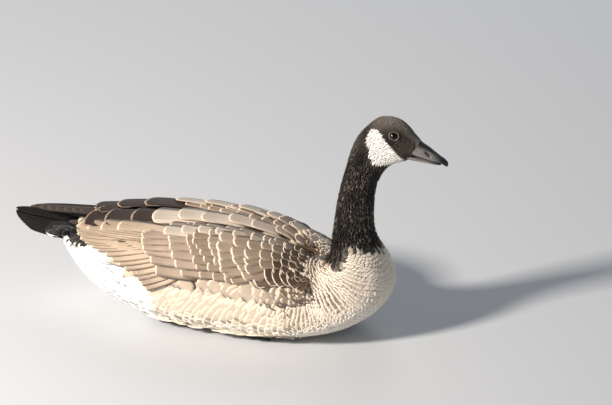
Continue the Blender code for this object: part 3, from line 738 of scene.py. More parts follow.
def lay_small(coat, u, turn, length, half, lift, swirl, over, curl, ground, tip, rng):
    """Lays small feathers from their roots on the surface, or on the wing's bed where over is 1.

    lift is how far out the roots and the tips stand.
    """
    du, dt = steps_on_surface(u, turn, swirl, length)
    t = coat.steps
    us, turns = u[:, None] + du[:, None] * t, turn[:, None] + dt[:, None] * t
    normal = tangents(us, turns)[2]
    low, high = lift
    rise = low[:, None] + (high - low)[:, None] * (1.25 * t**0.85 - 0.25 * t**3)
    middle = surface(us, turns) + normal * (over * wing_bed(us, turns) + rise)[..., None]
    side = np.cross(normal, unit(np.gradient(middle, axis=1)))
    turned = rng.normal(0, curl.twist, len(u))[:, None, None]
    side = side * np.cos(turned) + normal * np.sin(turned)
    half = half[:, None] * coat.widths
    camber = np.minimum(half.max(axis=1) * 0.08, 0.25 * MM)
    coat.add(middle, side, normal, half, half, camber, curl.wrap, curl.bow, ground, tip, on_map(u, turn))


NEAR = [(i, j, k) for i in (-1, 0, 1) for j in (-1, 0, 1) for k in (-1, 0, 1)]


def has_neighbour(grid, cell, place, limit):
    """Whether a kept point lies nearer to a place than the root of limit."""
    (a, b, c), (x, y, z) = cell, place
    for i, j, k in NEAR:
        for px, py, pz in grid.get((a + i, b + j, c + k), ()):
            if (px - x) ** 2 + (py - y) ** 2 + (pz - z) ** 2 < limit:
                return True
    return False


def blue_noise(points, spacing, rng):
    """Keeps points in a random order that have no kept neighbour nearer than their spacing."""
    cells = np.floor(points / float(np.max(spacing))).astype(int).tolist()
    places, limits = points.tolist(), (spacing**2).tolist()
    grid, kept = {}, []
    for index in rng.permutation(len(points)):
        if not has_neighbour(grid, cells[index], places[index], limits[index]):
            grid.setdefault(tuple(cells[index]), []).append(places[index])
            kept.append(index)
    return np.array(kept)


def scatter(first, last, spacing, seed, crowd=5.0, tries=60000):
    """Roots spread evenly over the skin between two ribs. spacing gives metres for rib numbers."""
    rng = np.random.default_rng(seed)
    u, turn = rng.uniform(first, last, tries), rng.uniform(-math.pi, math.pi, tries)
    along, around, _ = tangents(u, turn)
    area = np.linalg.norm(np.cross(along, around), axis=-1) * (last - first) * TURN
    gap = spacing(u)
    keep = rng.random(tries) < crowd * area / gap**2 / tries
    u, turn, gap = u[keep], turn[keep], gap[keep]
    kept = blue_noise(surface(u, turn), gap * 0.82, rng)
    return u[kept], turn[kept], gap[kept], rng


def on_flank(u):
    return smoothstep(2.2, 4.8, u) * smoothstep(9.3, 6.2, u)


def up_flank(degrees):
    """From 0 low on the flank to 1 where its feathers sweep up over the wing's edge."""
    return np.clip(118 - degrees, 0, 58) / 58


def run_along(path):
    """How far along a line of points each lies."""
    return np.concatenate([[0], np.cumsum(np.linalg.norm(np.diff(path, axis=0), axis=1))])


def row_places(first, last, spacing, rng):
    """Places in rows round the body, each row's between those of the row behind.

    Gives arrays of rib number, angle, the spacing of the rows and the spacing in them.
    """
    ribs = np.arange(first, last, 0.01)
    length = run_along(surface(ribs, LEVEL_ANGLE))
    turns = np.linspace(-math.pi, math.pi, 361)
    found, at = [], 0.0
    while at < length[-1]:
        u = np.interp(at, length, ribs)
        row, beside = (by_table(table, u) * MM * spacing for table in (ROW_SPACING, BESIDE_SPACING))
        arc = run_along(surface(u, turns))
        count = int(arc[-1] / beside)
        where = (np.arange(count) + 0.5 * (len(found) % 2) + rng.uniform(-0.2, 0.2, count)) * arc[-1] / count
        turn = np.interp(where % arc[-1], arc, turns)
        found.append((np.full(count, u), turn, np.full(count, row), np.full(count, beside)))
        at += row
    return (np.concatenate(values) for values in zip(*found))


def body_places(spacing, rng):
    """The tips of the body's feathers that show, with how crowded the ribs are there."""
    u, turn, row, beside = row_places(BODY_FROM, BODY_TO, spacing, rng)
    degrees = side_angle(turn)
    one_rib = rib_length(u, turn)
    wave = 1.6 * (ripple(surface(u, turn), 60 * MM, 21) - 0.5) + rng.normal(0, 0.07, len(u))
    u = u + row * wave / one_rib + 1.4 * up_flank(degrees) ** 2 * on_flank(u)
    keep = (u < BODY_TO) & (u < by_table(STOCKING, degrees) + 0.1)
    keep &= (degrees > by_table(WING_EDGE, u)) | (u < WING_FROM) | (u > WING_TO)
    keep &= ~((u < COVERTS_TO) & (degrees < COVERTS_DOWN_TO))
    crowding = one_rib / rib_length(u, np.full(len(u), LEVEL_ANGLE))
    keep &= (u < BREAST_FROM) | (rng.random(len(u)) < 2.2 * crowding)
    return (values[keep] for values in (u, turn, row, beside, crowding))


def lay_body(coat, sizes, colours):
    """Lays the feathers of the breast, flanks, belly and vent, in rows round the body."""
    rng = np.random.default_rng(11)
    u, turn, row, beside, crowding = body_places(sizes.feather_spacing, rng)
    degrees, points, count = side_angle(turn), surface(u, turn), len(u)
    ground, tip = markings(colours, u, turn, points)
    shade = (0.96 + 0.08 * ripple(points, 20 * MM, 31) + rng.normal(0, 0.02, count))[:, None]
    # The lie turns up the side on the flank.
    swirl = -np.arctan(1.5 * up_flank(degrees)) * on_flank(u) + rng.normal(0, 0.05, count)
    length = row * 3.1 * np.where(u > BREAST_FROM, np.clip(1.5 * crowding, 0.45, 1), 1) + 1 * MM
    length = length * (0.65 + 0.35 * smoothstep(-1.0, 0.6, u))
    root_u, root_turn = root_places(u, turn, swirl, length, 13.4)
    over_edge = on_flank(u) * smoothstep(72, 60, degrees)
    high = sizes.tip_rise + rng.normal(0, 0.04 * MM, count) + sizes.flank_rise * over_edge
    deep = -coat_depth(root_u) * (1.2 - 0.5 * smoothstep(4.0, 2.5, u))
    half = beside * (0.82 + 0.4 * smoothstep(10.5, 9.0, u) * smoothstep(1.5, 3.5, u))
    lay_small(coat, root_u, root_turn, length, half, (deep, high), swirl, 1.0, BODY_CURL,
              np.clip(ground * shade, 0, 1), np.clip(tip * shade, 0, 1), rng)


def lay_coverts(coat, sizes, colours):
    """Lays the short coverts round the tail's root, black above and white below."""
    gap = sizes.covert_spacing * sizes.feather_spacing
    u, turn, gap, rng = scatter(-2.2, 2.0, lambda u: np.full(u.shape, gap), 29)
    degrees = side_angle(turn)
    keep = (degrees > 40) & (degrees < COVERTS_DOWN_TO + 4) & (degrees > by_table(WING_EDGE, u) - 6)
    u, turn, gap = (values[keep] for values in (u, turn, gap))
    ground, tip = markings(colours, u, turn, surface(u, turn))
    swirl = rng.normal(0, 0.08, len(u))
    root_u, root_turn = root_places(u, turn, swirl, gap * 3.6)
    high = rng.normal(0.2 * MM, 0.08 * MM, len(u))
    lay_small(coat, root_u, root_turn, gap * 3.6, gap * 0.8, (-coat_depth(root_u) * 0.9, high), swirl, 1.0,
              COVERT_CURL, ground, tip, rng)


def body_feathers(sizes, colours):
    """The soft feathers of the body and the short coverts at the tail's root."""
    coat = Coat("body_feathers", 5, VANE_STEPS, VANE_WIDTHS)
    lay_body(coat, sizes, colours)
    lay_coverts(coat, sizes, colours)
    coat.pieces(feather_material("soft_plumage"))


def head_places(spacing):
    """Roots of the feathers of the neck and head, with their gaps, lengths and reach back in ribs."""
    u, turn, gap, rng = scatter(9.6, 25.95, lambda u: by_table(NECK_SPACING, u) * MM * spacing, 23, 4.0)
    length = gap * rng.uniform(2.2, 3.0, len(u))
    back = length / rib_length(u, turn)
    degrees = side_angle(turn)
    keep = (u - back > by_table(STOCKING, degrees) - 0.05) & (u < by_table(BILL_LINE, degrees))
    keep &= from_eye(posed(surface(u, turn))) > EYE_CLEAR
    return *(values[keep] for values in (u, turn, gap, length, back)), rng


def head_feathers(sizes, colours):
    """The short feathers of the neck and the tiny ones of the head and face."""
    u, turn, gap, length, back, rng = head_places(sizes.feather_spacing)
    count, deep = len(u), coat_depth(u)
    ground, tip = markings(colours, u - 0.6 * back, turn, posed(surface(u, turn)))
    pale, on_neck = smoothstep(0.4, 0.9, tip.mean(axis=1)), smoothstep(19.5, 17.5, u)
    on_head = rng.uniform(0.85, 1.25, (count, 1))
    streaks = 0.2 + 2.6 * rng.uniform(0, 1, (count, 1)) ** 4
    shade = mix(mix(on_head, streaks, on_neck), rng.uniform(0.97, 1.02, (count, 1)), pale)
    half = gap * rng.uniform(0.55, 0.7, count)
    lift = (-deep * 1.1, rng.uniform(-0.25, 0.35, count) * np.minimum(deep, 1.2 * MM))
    coat = Coat("head_feathers", 3, NECK_STEPS, NECK_WIDTHS)
    lay_small(coat, u, turn, length, half, lift, rng.normal(0, 0.12, count), 0.0, NECK_CURL,
              np.clip(ground * shade, 0, 1), np.clip(tip * shade, 0, 1), rng)
    coat.pieces(feather_material("short_plumage"))


# Wings and tail

# The tiers of a folded wing, hindmost first: how many feathers, their tips and roots from the back
# downwards as (rib number, degrees), half width in millimetres, how far the tips stand out, and the
# colours of the uppermost and the lowest feather and of their fringes. Two numbers are for the uppermost
# and the lowest feather.
WING_TIERS = (
    (15, ((0.3, 42), (0.75, 50), (1.85, 56), (2.85, 60), (3.55, 66), (4.05, 76), (4.35, 86)),
     ((4.6, 24), (4.8, 40), (5.2, 68)), 7.2, -0.6, "secondary", "secondary", "secondary_tip"),
    (7, ((3.95, 24), (4.05, 36), (4.25, 45), (4.6, 61)),
     ((5.1, 18), (5.25, 36), (5.8, 61)), 11.0, 1.0, "covert", "covert", "covert_tip"),
    (7, ((4.65, 19), (4.7, 28), (4.85, 38), (4.98, 49), (5.2, 61)),
     ((5.8, 14), (5.95, 34), (6.3, 58)), 10.5, 1.5, "covert", "covert", "covert_tip"),
    (10, ((5.05, 16), (5.2, 30), (5.35, 42), (5.65, 61)),
     ((5.85, 13), (6.0, 34), (6.4, 57)), 6.4, 1.8, "scapular", "scapular", "covert_tip"),
    (9, ((5.2, 14), (5.3, 26), (5.45, 35), (5.65, 45), (5.95, 61)),
     ((6.1, 12), (6.2, 32), (6.7, 56)), 7.0, 2.0, "scapular", "scapular", "covert_tip"),
    (8, ((5.5, 13), (5.65, 26), (5.72, 37), (5.95, 47), (6.2, 61)),
     ((6.5, 11), (6.6, 30), (6.9, 52)), 8.2, 2.2, "covert", "scapular", "covert_tip"),
    (7, ((5.88, 13), (5.85, 28), (5.95, 42), (6.05, 51), (6.35, 61)),
     ((7.0, 10), (7.05, 27), (7.15, 48)), 10.0, 2.4, "covert", "scapular", "covert_tip"),
    (7, ((6.2, 13), (6.2, 33), (6.3, 43), (6.5, 51), (6.8, 61)),
     ((7.3, 9), (7.35, 25), (7.4, 44)), 9.8, 2.6, "scapular", "covert", "covert_tip"),
    (7, ((6.5, 13), (6.55, 32), (6.57, 42), (6.7, 52), (7.0, 62)),
     ((7.6, 8), (7.6, 23), (7.65, 41)), 9.4, 2.7, "scapular", "scapular", "covert_tip"),
    (4, ((6.8, 12), (6.83, 22), (6.87, 31), (6.95, 40)),
     ((7.85, 8), (7.85, 16), (7.85, 24), (7.8, 32)), 8.5, 2.7, "scapular", "scapular", "covert_tip"),
    (4, ((7.1, 11), (7.15, 20), (7.2, 29), (7.28, 38)),
     ((8.1, 7), (8.05, 14), (8.0, 22), (7.9, 30)), 7.6, 2.7, "scapular", "shoulder", "covert_tip"),
    (5, ((7.4, 10), (7.45, 24), (7.6, 41)),
     ((8.35, 6), (8.3, 17), (8.2, 31)), 6.4, 2.6, "shoulder", "shoulder", "covert_tip"),
    (5, ((7.7, 9), (7.75, 24), (7.85, 42)),
     ((8.6, 6), (8.5, 17), (8.4, 33)), 5.6, 2.4, "shoulder", "shoulder", "shoulder_tip"),
    (6, ((8.0, 8), (8.05, 26), (8.12, 44)),
     ((8.85, 7), (8.75, 20), (8.65, 36)), 4.8, 2.0, "shoulder", "shoulder", "shoulder_tip"),
)
# The tall ovals of the shoulder, hindmost first, and the small dark feathers in front of them.
OVALS = (
    (6, ((6.85, 52), (7.12, 51), (7.38, 50), (7.62, 50), (7.86, 53), (8.08, 56)),
     ((7.75, 40), (7.95, 38), (8.15, 37), (8.35, 38), (8.55, 41), (8.7, 44)), (17.0, 11.0), (2.2, 5.0),
     "shoulder", "shoulder", "covert_tip"),
    (4, ((8.1, 42), (8.16, 48), (8.22, 54)),
     ((8.6, 37), (8.64, 43), (8.68, 49)), 5.4, 3.4, "shoulder", "shoulder", "shoulder_tip"),
    (4, ((8.32, 42), (8.37, 48), (8.42, 54)),
     ((8.75, 38), (8.78, 43), (8.81, 49)), 4.6, 2.2, "shoulder", "bar", "shoulder_tip"),
    (4, ((8.5, 42), (8.53, 47), (8.57, 53)),
     ((8.88, 39), (8.9, 43), (8.92, 48)), 4.0, 1.2, "shoulder", "bar", "shoulder_tip"),
)
# The right wing's own tertials and the line of scapulars along its inner edge.
# The pale upper ground of the scapulars is a painted highlight, for the sunlight on the top of the back.
RIGHT_TIERS = (
    (5, ((-0.3, 34), (0.4, 32), (1.3, 30), (2.2, 27), (3.1, 25)),
     ((5.0, 33), (5.1, 30), (5.2, 27), (5.35, 25), (5.5, 22)), 10.5, 3.0,
     "secondary", "secondary", "secondary_tip"),
    (9, ((4.6, 24), (5.15, 20), (5.6, 18), (6.1, 17), (6.7, 16), (7.25, 13), (8.0, 9)),
     ((5.8, 20), (6.3, 17), (6.8, 15), (7.3, 13), (7.9, 11), (8.5, 8)), (9.5, 6.5), 3.0,
     "pale", "scapular", "covert_tip"),
)
# The left wing lies over the middle of the back: its broad dark tertials and two lines of scapulars.
# The scapulars' pale ground is a painted highlight, for the sunlight on the top of the back.
LEFT_TIERS = (
    (2, ((0.62, -10), (0.75, 19)), ((4.0, -8), (4.2, 20)), 23.0, 4.2, "tertial", "tertial", "tertial_tip"),
    (2, ((2.1, -10), (2.25, 19)), ((4.7, -5), (4.9, 20)), 22.0, 3.6, "tertial", "tertial", "tertial_tip"),
    (2, ((3.35, -9), (3.45, 19)), ((5.2, -3), (5.4, 20)), 21.0, 3.0, "tertial", "tertial", "tertial_tip"),
    (6, ((4.3, 30), (5.05, 29), (5.8, 28), (6.5, 26), (7.2, 22), (8.0, 17)),
     ((5.8, 28), (6.5, 27), (7.2, 25), (7.8, 22), (8.3, 18), (8.6, 15)), (20.0, 8.5), 2.4,
     "pale", "pale", "covert_tip"),
    (8, ((4.05, -5), (4.65, -2), (5.25, 0), (5.8, 2), (6.35, 3), (6.95, 5), (7.55, 6), (8.15, 7)),
     ((5.6, 1), (6.2, 3), (6.8, 5), (7.4, 6), (8.0, 7), (8.5, 8)), (19.0, 6.5), 2.6,
     "pale", "covert", "covert_tip"),
)
LOUVRE_GAP = 0.3 * MM  # how far each feather stands over the next one's shaft
LOW_TIER, LOW_RISE = 40, 0.4  # on the left, a tier that reaches below this angle stands out by this share
WING_STEPS, WING_WIDTHS = (0, 0.3, 0.55, 0.75, 0.88, 0.96, 1), (0.6, 0.88, 1.0, 1.04, 1.04, 1.0, 0.9)
WING_WRAP, LEFT_WRAP, OVAL_WRAP = 11.0, 3.0, 2.0  # the curve across a feather, as one over its radius
WING_BOW = 0.32

FLIGHT_STEPS = (0, 0.2, 0.4, 0.58, 0.74, 0.87, 0.96, 1)
FLIGHT_WIDTHS = (0.7, 0.85, 0.95, 1.0, 1.0, 0.88, 0.6, 0.25)
FLIGHT_CAMBER, FLIGHT_BOW = 0.45 * MM, 0.5
# Each wing's side, where its first and last primary end along the bird, how far they lie under the back
# and out from its middle, their half width, all in millimetres, and their tilt in degrees.
PRIMARIES = {"right": (-1, (-188, -214), 7, 9, 7, 6), "left": (1, (-206, -271), 4, 6, 9, 12)}
PRIMARY_COUNT = 7
TAIL_PAIRS = 9


def along_line(points, share):
    """Places along a line of points, by share of its number of stretches."""
    points = np.array(points, float)
    where = share * (len(points) - 1)
    return np.stack([np.interp(where, np.arange(len(points)), column) for column in points.T], -1)


def wing_tier(coat, colours, tier, side, rng, wrap):
    """Lays one tier of the folded wing, each feather's lower edge over the next one."""
    count, tips, roots, halves, rises, upper_ground, lower_ground, tip_colour = tier
    half, rise = (np.linspace(*np.broadcast_to(ends, 2), count)[:, None] * MM for ends in (halves, rises))
    share = np.linspace(0, 1, count)
    jitter = rng.normal(0, 0.012, (count, 2)) * (1, 60)
    if side > 0 and max(degrees for _, degrees in tips) > LOW_TIER:
        rise = rise * LOW_RISE
    tip, root = along_line(tips, share) + jitter, along_line(roots, share) + jitter
    t = coat.steps
    u = root[:, :1] + (tip[:, :1] - root[:, :1]) * t
    turn = np.radians(root[:, 1:] + (tip[:, 1:] - root[:, 1:]) * t) * -side
    normal, depth = tangents(u, turn)[2], wing_depth(u, turn)
    sink = -0.42 * depth[:, :1] - 0.4 * MM
    lift = sink + (rise + rng.normal(0, 0.05 * MM, (count, 1)) - sink) * (1.2 * t**0.8 - 0.2 * t**4)
    middle = surface(u, turn) + normal * (depth + lift)[..., None]
    across, upright = louvred(middle, normal, side)
    widths = half * coat.widths * rng.uniform(0.94, 1.06, (count, 1))
    grounds = mix(colours[upper_ground], colours[lower_ground], share)
    grounds = np.clip(grounds * rng.uniform(0.9, 1.08, (count, 1)), 0, 1)
    coat.add(middle, across * -side, upright, widths, widths, half[:, 0] * 0.015, wrap, WING_BOW,
             grounds, np.tile(colours[tip_colour], (count, 1)), on_map(u[:, 0], turn[:, 0]))


def louvred(middle, normal, side):
    """Directions across and out of a tier's vanes, tilted so that each stands over the next one's shaft."""
    forward = unit(np.gradient(middle, axis=1))
    across = np.cross(normal, forward) * -side  # towards the wing's lower edge
    between = np.linalg.norm(np.gradient(middle[:, middle.shape[1] // 2], axis=0), axis=-1)
    louvre = np.arctan(LOUVRE_GAP / between)[:, None, None]
    across = across * np.cos(louvre) + normal * np.sin(louvre)
    return across, np.cross(across, forward) * side


def straight_feathers(coat, roots, tips, low, high, tilt, ground, tip_colour, place):
    """Flight feathers between given points in millimetres, their +Y edges tilted up by tilt."""
    roots, tips = np.array(roots, float) * MM, np.array(tips, float) * MM
    t = coat.steps
    middle = roots[:, None] + (tips - roots)[:, None] * t[None, :, None]
    forward = unit(tips - roots)
    side = unit(np.cross([0, 0, 1], forward))  # towards -Y for a feather that points back
    up = np.cross(forward, side)
    tilt = -np.asarray(tilt, float)[:, None]
    side, up = side * np.cos(tilt) + up * np.sin(tilt), up * np.cos(tilt) - side * np.sin(tilt)
    count = len(roots)
    shape = (count, len(t), 3)
    coat.add(middle, np.broadcast_to(side[:, None], shape), np.broadcast_to(up[:, None], shape),
             np.asarray(high)[:, None] * MM * coat.widths, np.asarray(low)[:, None] * MM * coat.widths,
             np.full(count, FLIGHT_CAMBER), 0.0, FLIGHT_BOW, np.tile(ground, (count, 1)),
             np.tile(tip_colour, (count, 1)), np.tile(place, (count, 1)))


def lay_primaries(coat, colours, side, ends, low, near, half, tilt):
    """Lays the tips of the long flight feathers, which show beyond the folded wing."""
    share = np.linspace(0, 1, PRIMARY_COUNT)
    roots = np.stack([np.full(PRIMARY_COUNT, -120), side * (20 + 8 * share), 117 - low - 5 * share], -1)
    along = ends[0] + (ends[1] - ends[0]) * share
    tips = np.stack([along, side * (near + 2 * share), 114 - low - 5 * share], -1)
    halves, tilts = np.full(PRIMARY_COUNT, half), np.full(PRIMARY_COUNT, math.radians(tilt))
    straight_feathers(coat, roots, tips, halves, halves, tilts, colours["primary"], colours["primary_tip"],
                      on_map(np.array(4.0), np.array(-0.4 * side)))


def wing_feathers(colours):
    """Both folded wings: tiers of coverts, scapulars and tertials, and the long primaries."""
    wing, primary = feather_material("wing_plumage"), feather_material("primary_plumage")
    for label, (side, *lie) in PRIMARIES.items():
        rng = np.random.default_rng(40 + side)
        coat = Coat(f"wing_feathers_{label}", 5, WING_STEPS, WING_WIDTHS)
        own = (RIGHT_TIERS, WING_WRAP) if side < 0 else (LEFT_TIERS, LEFT_WRAP)
        for tiers, wrap in ((WING_TIERS, WING_WRAP), own, (OVALS, OVAL_WRAP)):
            for tier in tiers:
                wing_tier(coat, colours, tier, side, rng, wrap)
        coat.pieces(wing)
        flights = Coat(f"primaries_{label}", 5, FLIGHT_STEPS, FLIGHT_WIDTHS)
        lay_primaries(flights, colours, side, *lie)
        flights.pieces(primary)


def tail_feathers(colours):
    """The closed tail: a roof of feathers, each pair under the pair nearer the middle."""
    roots, tips, low, high, tilts = [], [], [], [], []
    for k in range(TAIL_PAIRS):
        for side in (-1, 1):
            top = 1.3 if k == 0 and side < 0 else 0  # the uppermost feather of all
            end_y = 1.95 * k + 1.9
            roots.append((-206 - k, side * (3.2 * k + 2.6), 99.4 - 1.2 * k + top))
            tips.append((-286 + 0.3 * k * k, side * end_y, 104.4 - 1.3 * k + top))
            inner, outer = 9 if top else min(9, end_y - 0.2), 8.5
            low.append(outer if side < 0 else inner)
            high.append(inner if side < 0 else outer)
            tilts.append(side * math.radians(-4 - 1.3 * k))
    coat = Coat("tail_feathers", 5, FLIGHT_STEPS, FLIGHT_WIDTHS)
    straight_feathers(coat, roots, tips, low, high, tilts, colours["tail"], colours["tail_tip"],
                      on_map(np.array(-2.0), np.array(0.0)))
    coat.pieces(feather_material("tail_plumage"))


# Skin, eyes, bill and legs

SKIN_ROWS = np.concatenate([np.arange(-3, 13, 0.16), np.arange(13, 18.6, 0.1), np.arange(18.6, 26.001, 0.05)])
SKIN_COLUMNS = 160
BED_SHARE = 0.75  # how much of the wing's depth the skin takes up
LID_REACH, LID_WIDTH, LID_RISE = 5.1, 1.15, 2.3  # the lid's ring round the eye, in millimetres
SOCKET_REACH, SOCKET_DEPTH = (4.8, 3.2), 4.2

# The rings of the two halves of the bill, from the face to the tip: the point on the upper line and the
# one below it (x, z) and the half width, in millimetres.
UPPER_BILL = (
    ((213, 275), (212.5, 252), 13.6), ((219, 270.4), (215, 249.5), 12.4),
    ((228.75, 263.2), (218.85, 246.5), 10.5), ((236, 259.3), (228, 244.6), 9.4),
    ((243, 254.8), (238, 242.9), 8.1), ((250, 250.2), (247, 241.4), 7.1),
    ((256, 246.4), (255, 239.9), 6.0), ((260.4, 243.0), (259.6, 237.4), 3.9),
    ((262, 240.2), (261.6, 236.9), 1.3),
)
LOWER_BILL = (
    ((212, 247.0), (209, 240.6), 10.4), ((218.6, 246.0), (215, 240), 9.9),
    ((228, 244.1), (226.5, 239.3), 8.7), ((238, 242.4), (237, 238.6), 7.2),
    ((247, 240.9), (246.4, 237.9), 5.8), ((253.6, 239.7), (253.2, 237.9), 4.0),
)
NOSTRIL_AT, NOSTRIL_TILT = (238.0, 251.0), math.radians(-38)


def grid_mesh(name, points, maps):
    """A closed tube from rings of points. maps holds their places on OFBake, with one column more."""
    rows, count = points.shape[:2]
    faces = []
    for a in range(0, (rows - 1) * count, count):
        for k in range(count):
            after = (k + 1) % count
            faces.append((a + k, a + after, a + count + after, a + count + k))
    faces.append(tuple(reversed(range(count))))
    faces.append(tuple(range((rows - 1) * count, rows * count)))
    mesh = bpy.data.meshes.new(name)
    mesh.from_pydata(points.reshape(-1, 3).tolist(), [], faces)
    row, column = np.divmod(np.array([vertex for face in faces for vertex in face]), count)
    # The last face of a ring ends in the map's own last column.
    column[: (rows - 1) * count * 4].reshape(rows - 1, count, 4)[:, -1, 1:3] = count
    layer = mesh.uv_layers.new(name="OFBake")
    layer.uv.foreach_set("vector", maps[row, column].astype(np.float32).ravel())
    mesh.polygons.foreach_set("use_smooth", np.ones(len(mesh.polygons), bool))
    mesh.update()
    return mesh


def skin_points(u, turn):
    """Points of the skin, with the eyes' lids raised and their sockets sunk, and their reach in mm."""
    out = wing_bed(u, turn) * BED_SHARE - coat_depth(u)
    points = posed(surface(u, turn) + tangents(u, turn)[2] * out[:, None])
    reach = from_eye(points) / MM
    nearest = np.argmin([np.linalg.norm(points - place, axis=1) for place, _ in EYES.values()], axis=0)
    eye_out = np.array([out_way for _, out_way in EYES.values()])[nearest]
    lid = np.exp(-(((reach - LID_REACH) / LID_WIDTH) ** 2)) * LID_RISE
    socket = SOCKET_DEPTH * smoothstep(*SOCKET_REACH, reach)
    points = points + eye_out * (np.where(reach < 9, lid - socket, 0) * MM)[:, None]
    points[:, 2] = np.maximum(points[:, 2], LOWEST_SKIN)
    return points, reach


def skin_colours(colours, u, turn, points, reach):
    """The feathers' own colours, with painted shade under the wings and in the eyes' sockets, and the lids'
    ring, painted paler below.
    """
    ground, _ = markings(colours, u, turn, points)
    # Painted shade: under the wings the skin is darkened to half the scapular colour, for the shade between
    # the wing's feathers and the body.
    ground = mix(ground, colours["scapular"] * 0.5, (wing_bed(u, turn) > 1 * MM) * 1.0)
    ground = mix(ground, colours["tail"], smoothstep(-1.0, -1.6, u) * smoothstep(80, 60, side_angle(turn)))
    # Painted highlight: the lid's ring is painted paler on the lower lid, whose rim faces up into the light.
    under = points[:, 2] < 272 * MM  # the lower lid is the paler one
    lid = np.exp(-(((reach - 4.85) / 0.5) ** 2)) * (0.55 + 0.45 * under)
    ground = mix(ground, colours["lid"], lid)
    # Painted shade in the eyes' corners, where the sockets sink under the lids.
    ground = mix(ground, colours["skin_dark"], smoothstep(4.1, 3.5, reach))
    return np.clip(ground, 0, 1)


def make_skin(colours):
    """One skin under all the feathers, with the eyes' sockets and lids."""
    around = np.linspace(-math.pi, math.pi, SKIN_COLUMNS + 1)[:-1]
    u, turn = (values.ravel() for values in np.meshgrid(SKIN_ROWS, around, indexing="ij"))
    points, reach = skin_points(u, turn)
    map_rows = (SKIN_ROWS - FIRST_RIB) / (LAST_RIB - FIRST_RIB) * (1 - 2 * MAP_EDGE) + MAP_EDGE
    maps = np.stack(np.meshgrid(np.linspace(MAP_EDGE, 1 - MAP_EDGE, SKIN_COLUMNS + 1), map_rows), -1)
    mesh = grid_mesh("skin", points.reshape(len(SKIN_ROWS), SKIN_COLUMNS, 3), maps)
    set_colours(mesh, "ground", skin_colours(colours, u, turn, points, reach))
    # Skin with short down: soft and quite matt, since the down scatters all the light.
    material = mottled_material(
        "downy_skin", SKIN_MOTTLE, 3.0, 0.2, 0.85, SKIN_PORES, 3.0, 0.5, Roughness=0.75)
    skin = new_piece("skin", mesh, material)
    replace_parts(skin, "torso", "neck", "head", "wing_left", "wing_right", "tail")


def eye_material(label):
    """Cornea: clear wet tissue over the iris, smooth as glass, so that it holds one small highlight."""
    made, tree, shader = new_material(f"wet_cornea_{label}", Roughness=0.06, Specular_IOR_Level=0.3)
    ground = add_node(tree, "ShaderNodeAttribute", attribute_name="ground")
    tree.links.new(ground.outputs[0], shader.inputs["Base Color"])
    return made


def make_eyes(sizes, colours):
    """Both eyeballs, with the pupil facing out."""
    radius = sizes.eye_radius
    for label, (place, out) in EYES.items():
        centre = place - out * (radius - sizes.eye_rise)
        bpy.ops.mesh.primitive_uv_sphere_add(segments=48, ring_count=32, radius=1)
        ball = bpy.context.active_object
        ball.name = f"eyeball_{label}"
        turn = Vector(out).to_track_quat("Z", "Y").to_matrix()
        for vert in ball.data.vertices:
            vert.co = Vector(centre) + turn @ (vert.co * radius)
        ball.data.polygons.foreach_set("use_smooth", np.ones(len(ball.data.polygons), bool))
        outward = np.array([(np.array(vert.co) - centre) @ out / radius for vert in ball.data.vertices])
        in_pupil = smoothstep(0.80, 0.84, outward)
        set_colours(ball.data, "ground", mix(colours["iris"], colours["pupil"], in_pupil))
        ball.data.materials.append(eye_material(label))
        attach(ball, "root")
        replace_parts(ball, f"eye_{label}")


def bill_rings(stations, widest, steps, around):
    """Rings of a half of the bill. widest is where it is widest, from its lower edge up."""
    table = np.array([(*upper, *lower, half) for upper, lower, half in stations]) * MM
    where = np.linspace(0, len(stations) - 1, steps)
    rows = curve_through(table, where)
    turn = np.linspace(0, TURN, around + 1)[:-1]
    upper, lower, half = rows[:, None, 0:2], rows[:, None, 2:4], rows[:, 4:]
    belt = lower + (upper - lower) * widest
    cos, sin = np.cos(turn)[None, :, None], np.sin(turn)[None]
    flat = belt + np.where(cos > 0, upper - belt, lower - belt) * np.abs(cos)
    return np.stack([flat[..., 0], -half * sin, flat[..., 1]], -1), where


def bill_map(start, end, rows, around):
    """Places on OFBake for a half of the bill: along it from start to end, then round it."""
    along, across = np.linspace(start, end, rows), np.linspace(0.02, 0.98, around + 1)
    return np.stack(np.meshgrid(along, across, indexing="ij"), -1)


def nostrils(flat, sizes):
    """How deep in the nostrils' hollows points lie, from 0 to 1."""
    x, z = (flat[:, [0, 2]] / MM - NOSTRIL_AT).T
    cos, sin = math.cos(NOSTRIL_TILT), math.sin(NOSTRIL_TILT)
    run, rise = x * cos + z * sin, z * cos - x * sin
    half_length, half_height = sizes.nostril_length / MM / 2, sizes.nostril_height / MM / 2
    return np.exp(-((run / half_length) ** 4) - (rise / half_height) ** 2) * (np.abs(flat[:, 1]) > 2 * MM)


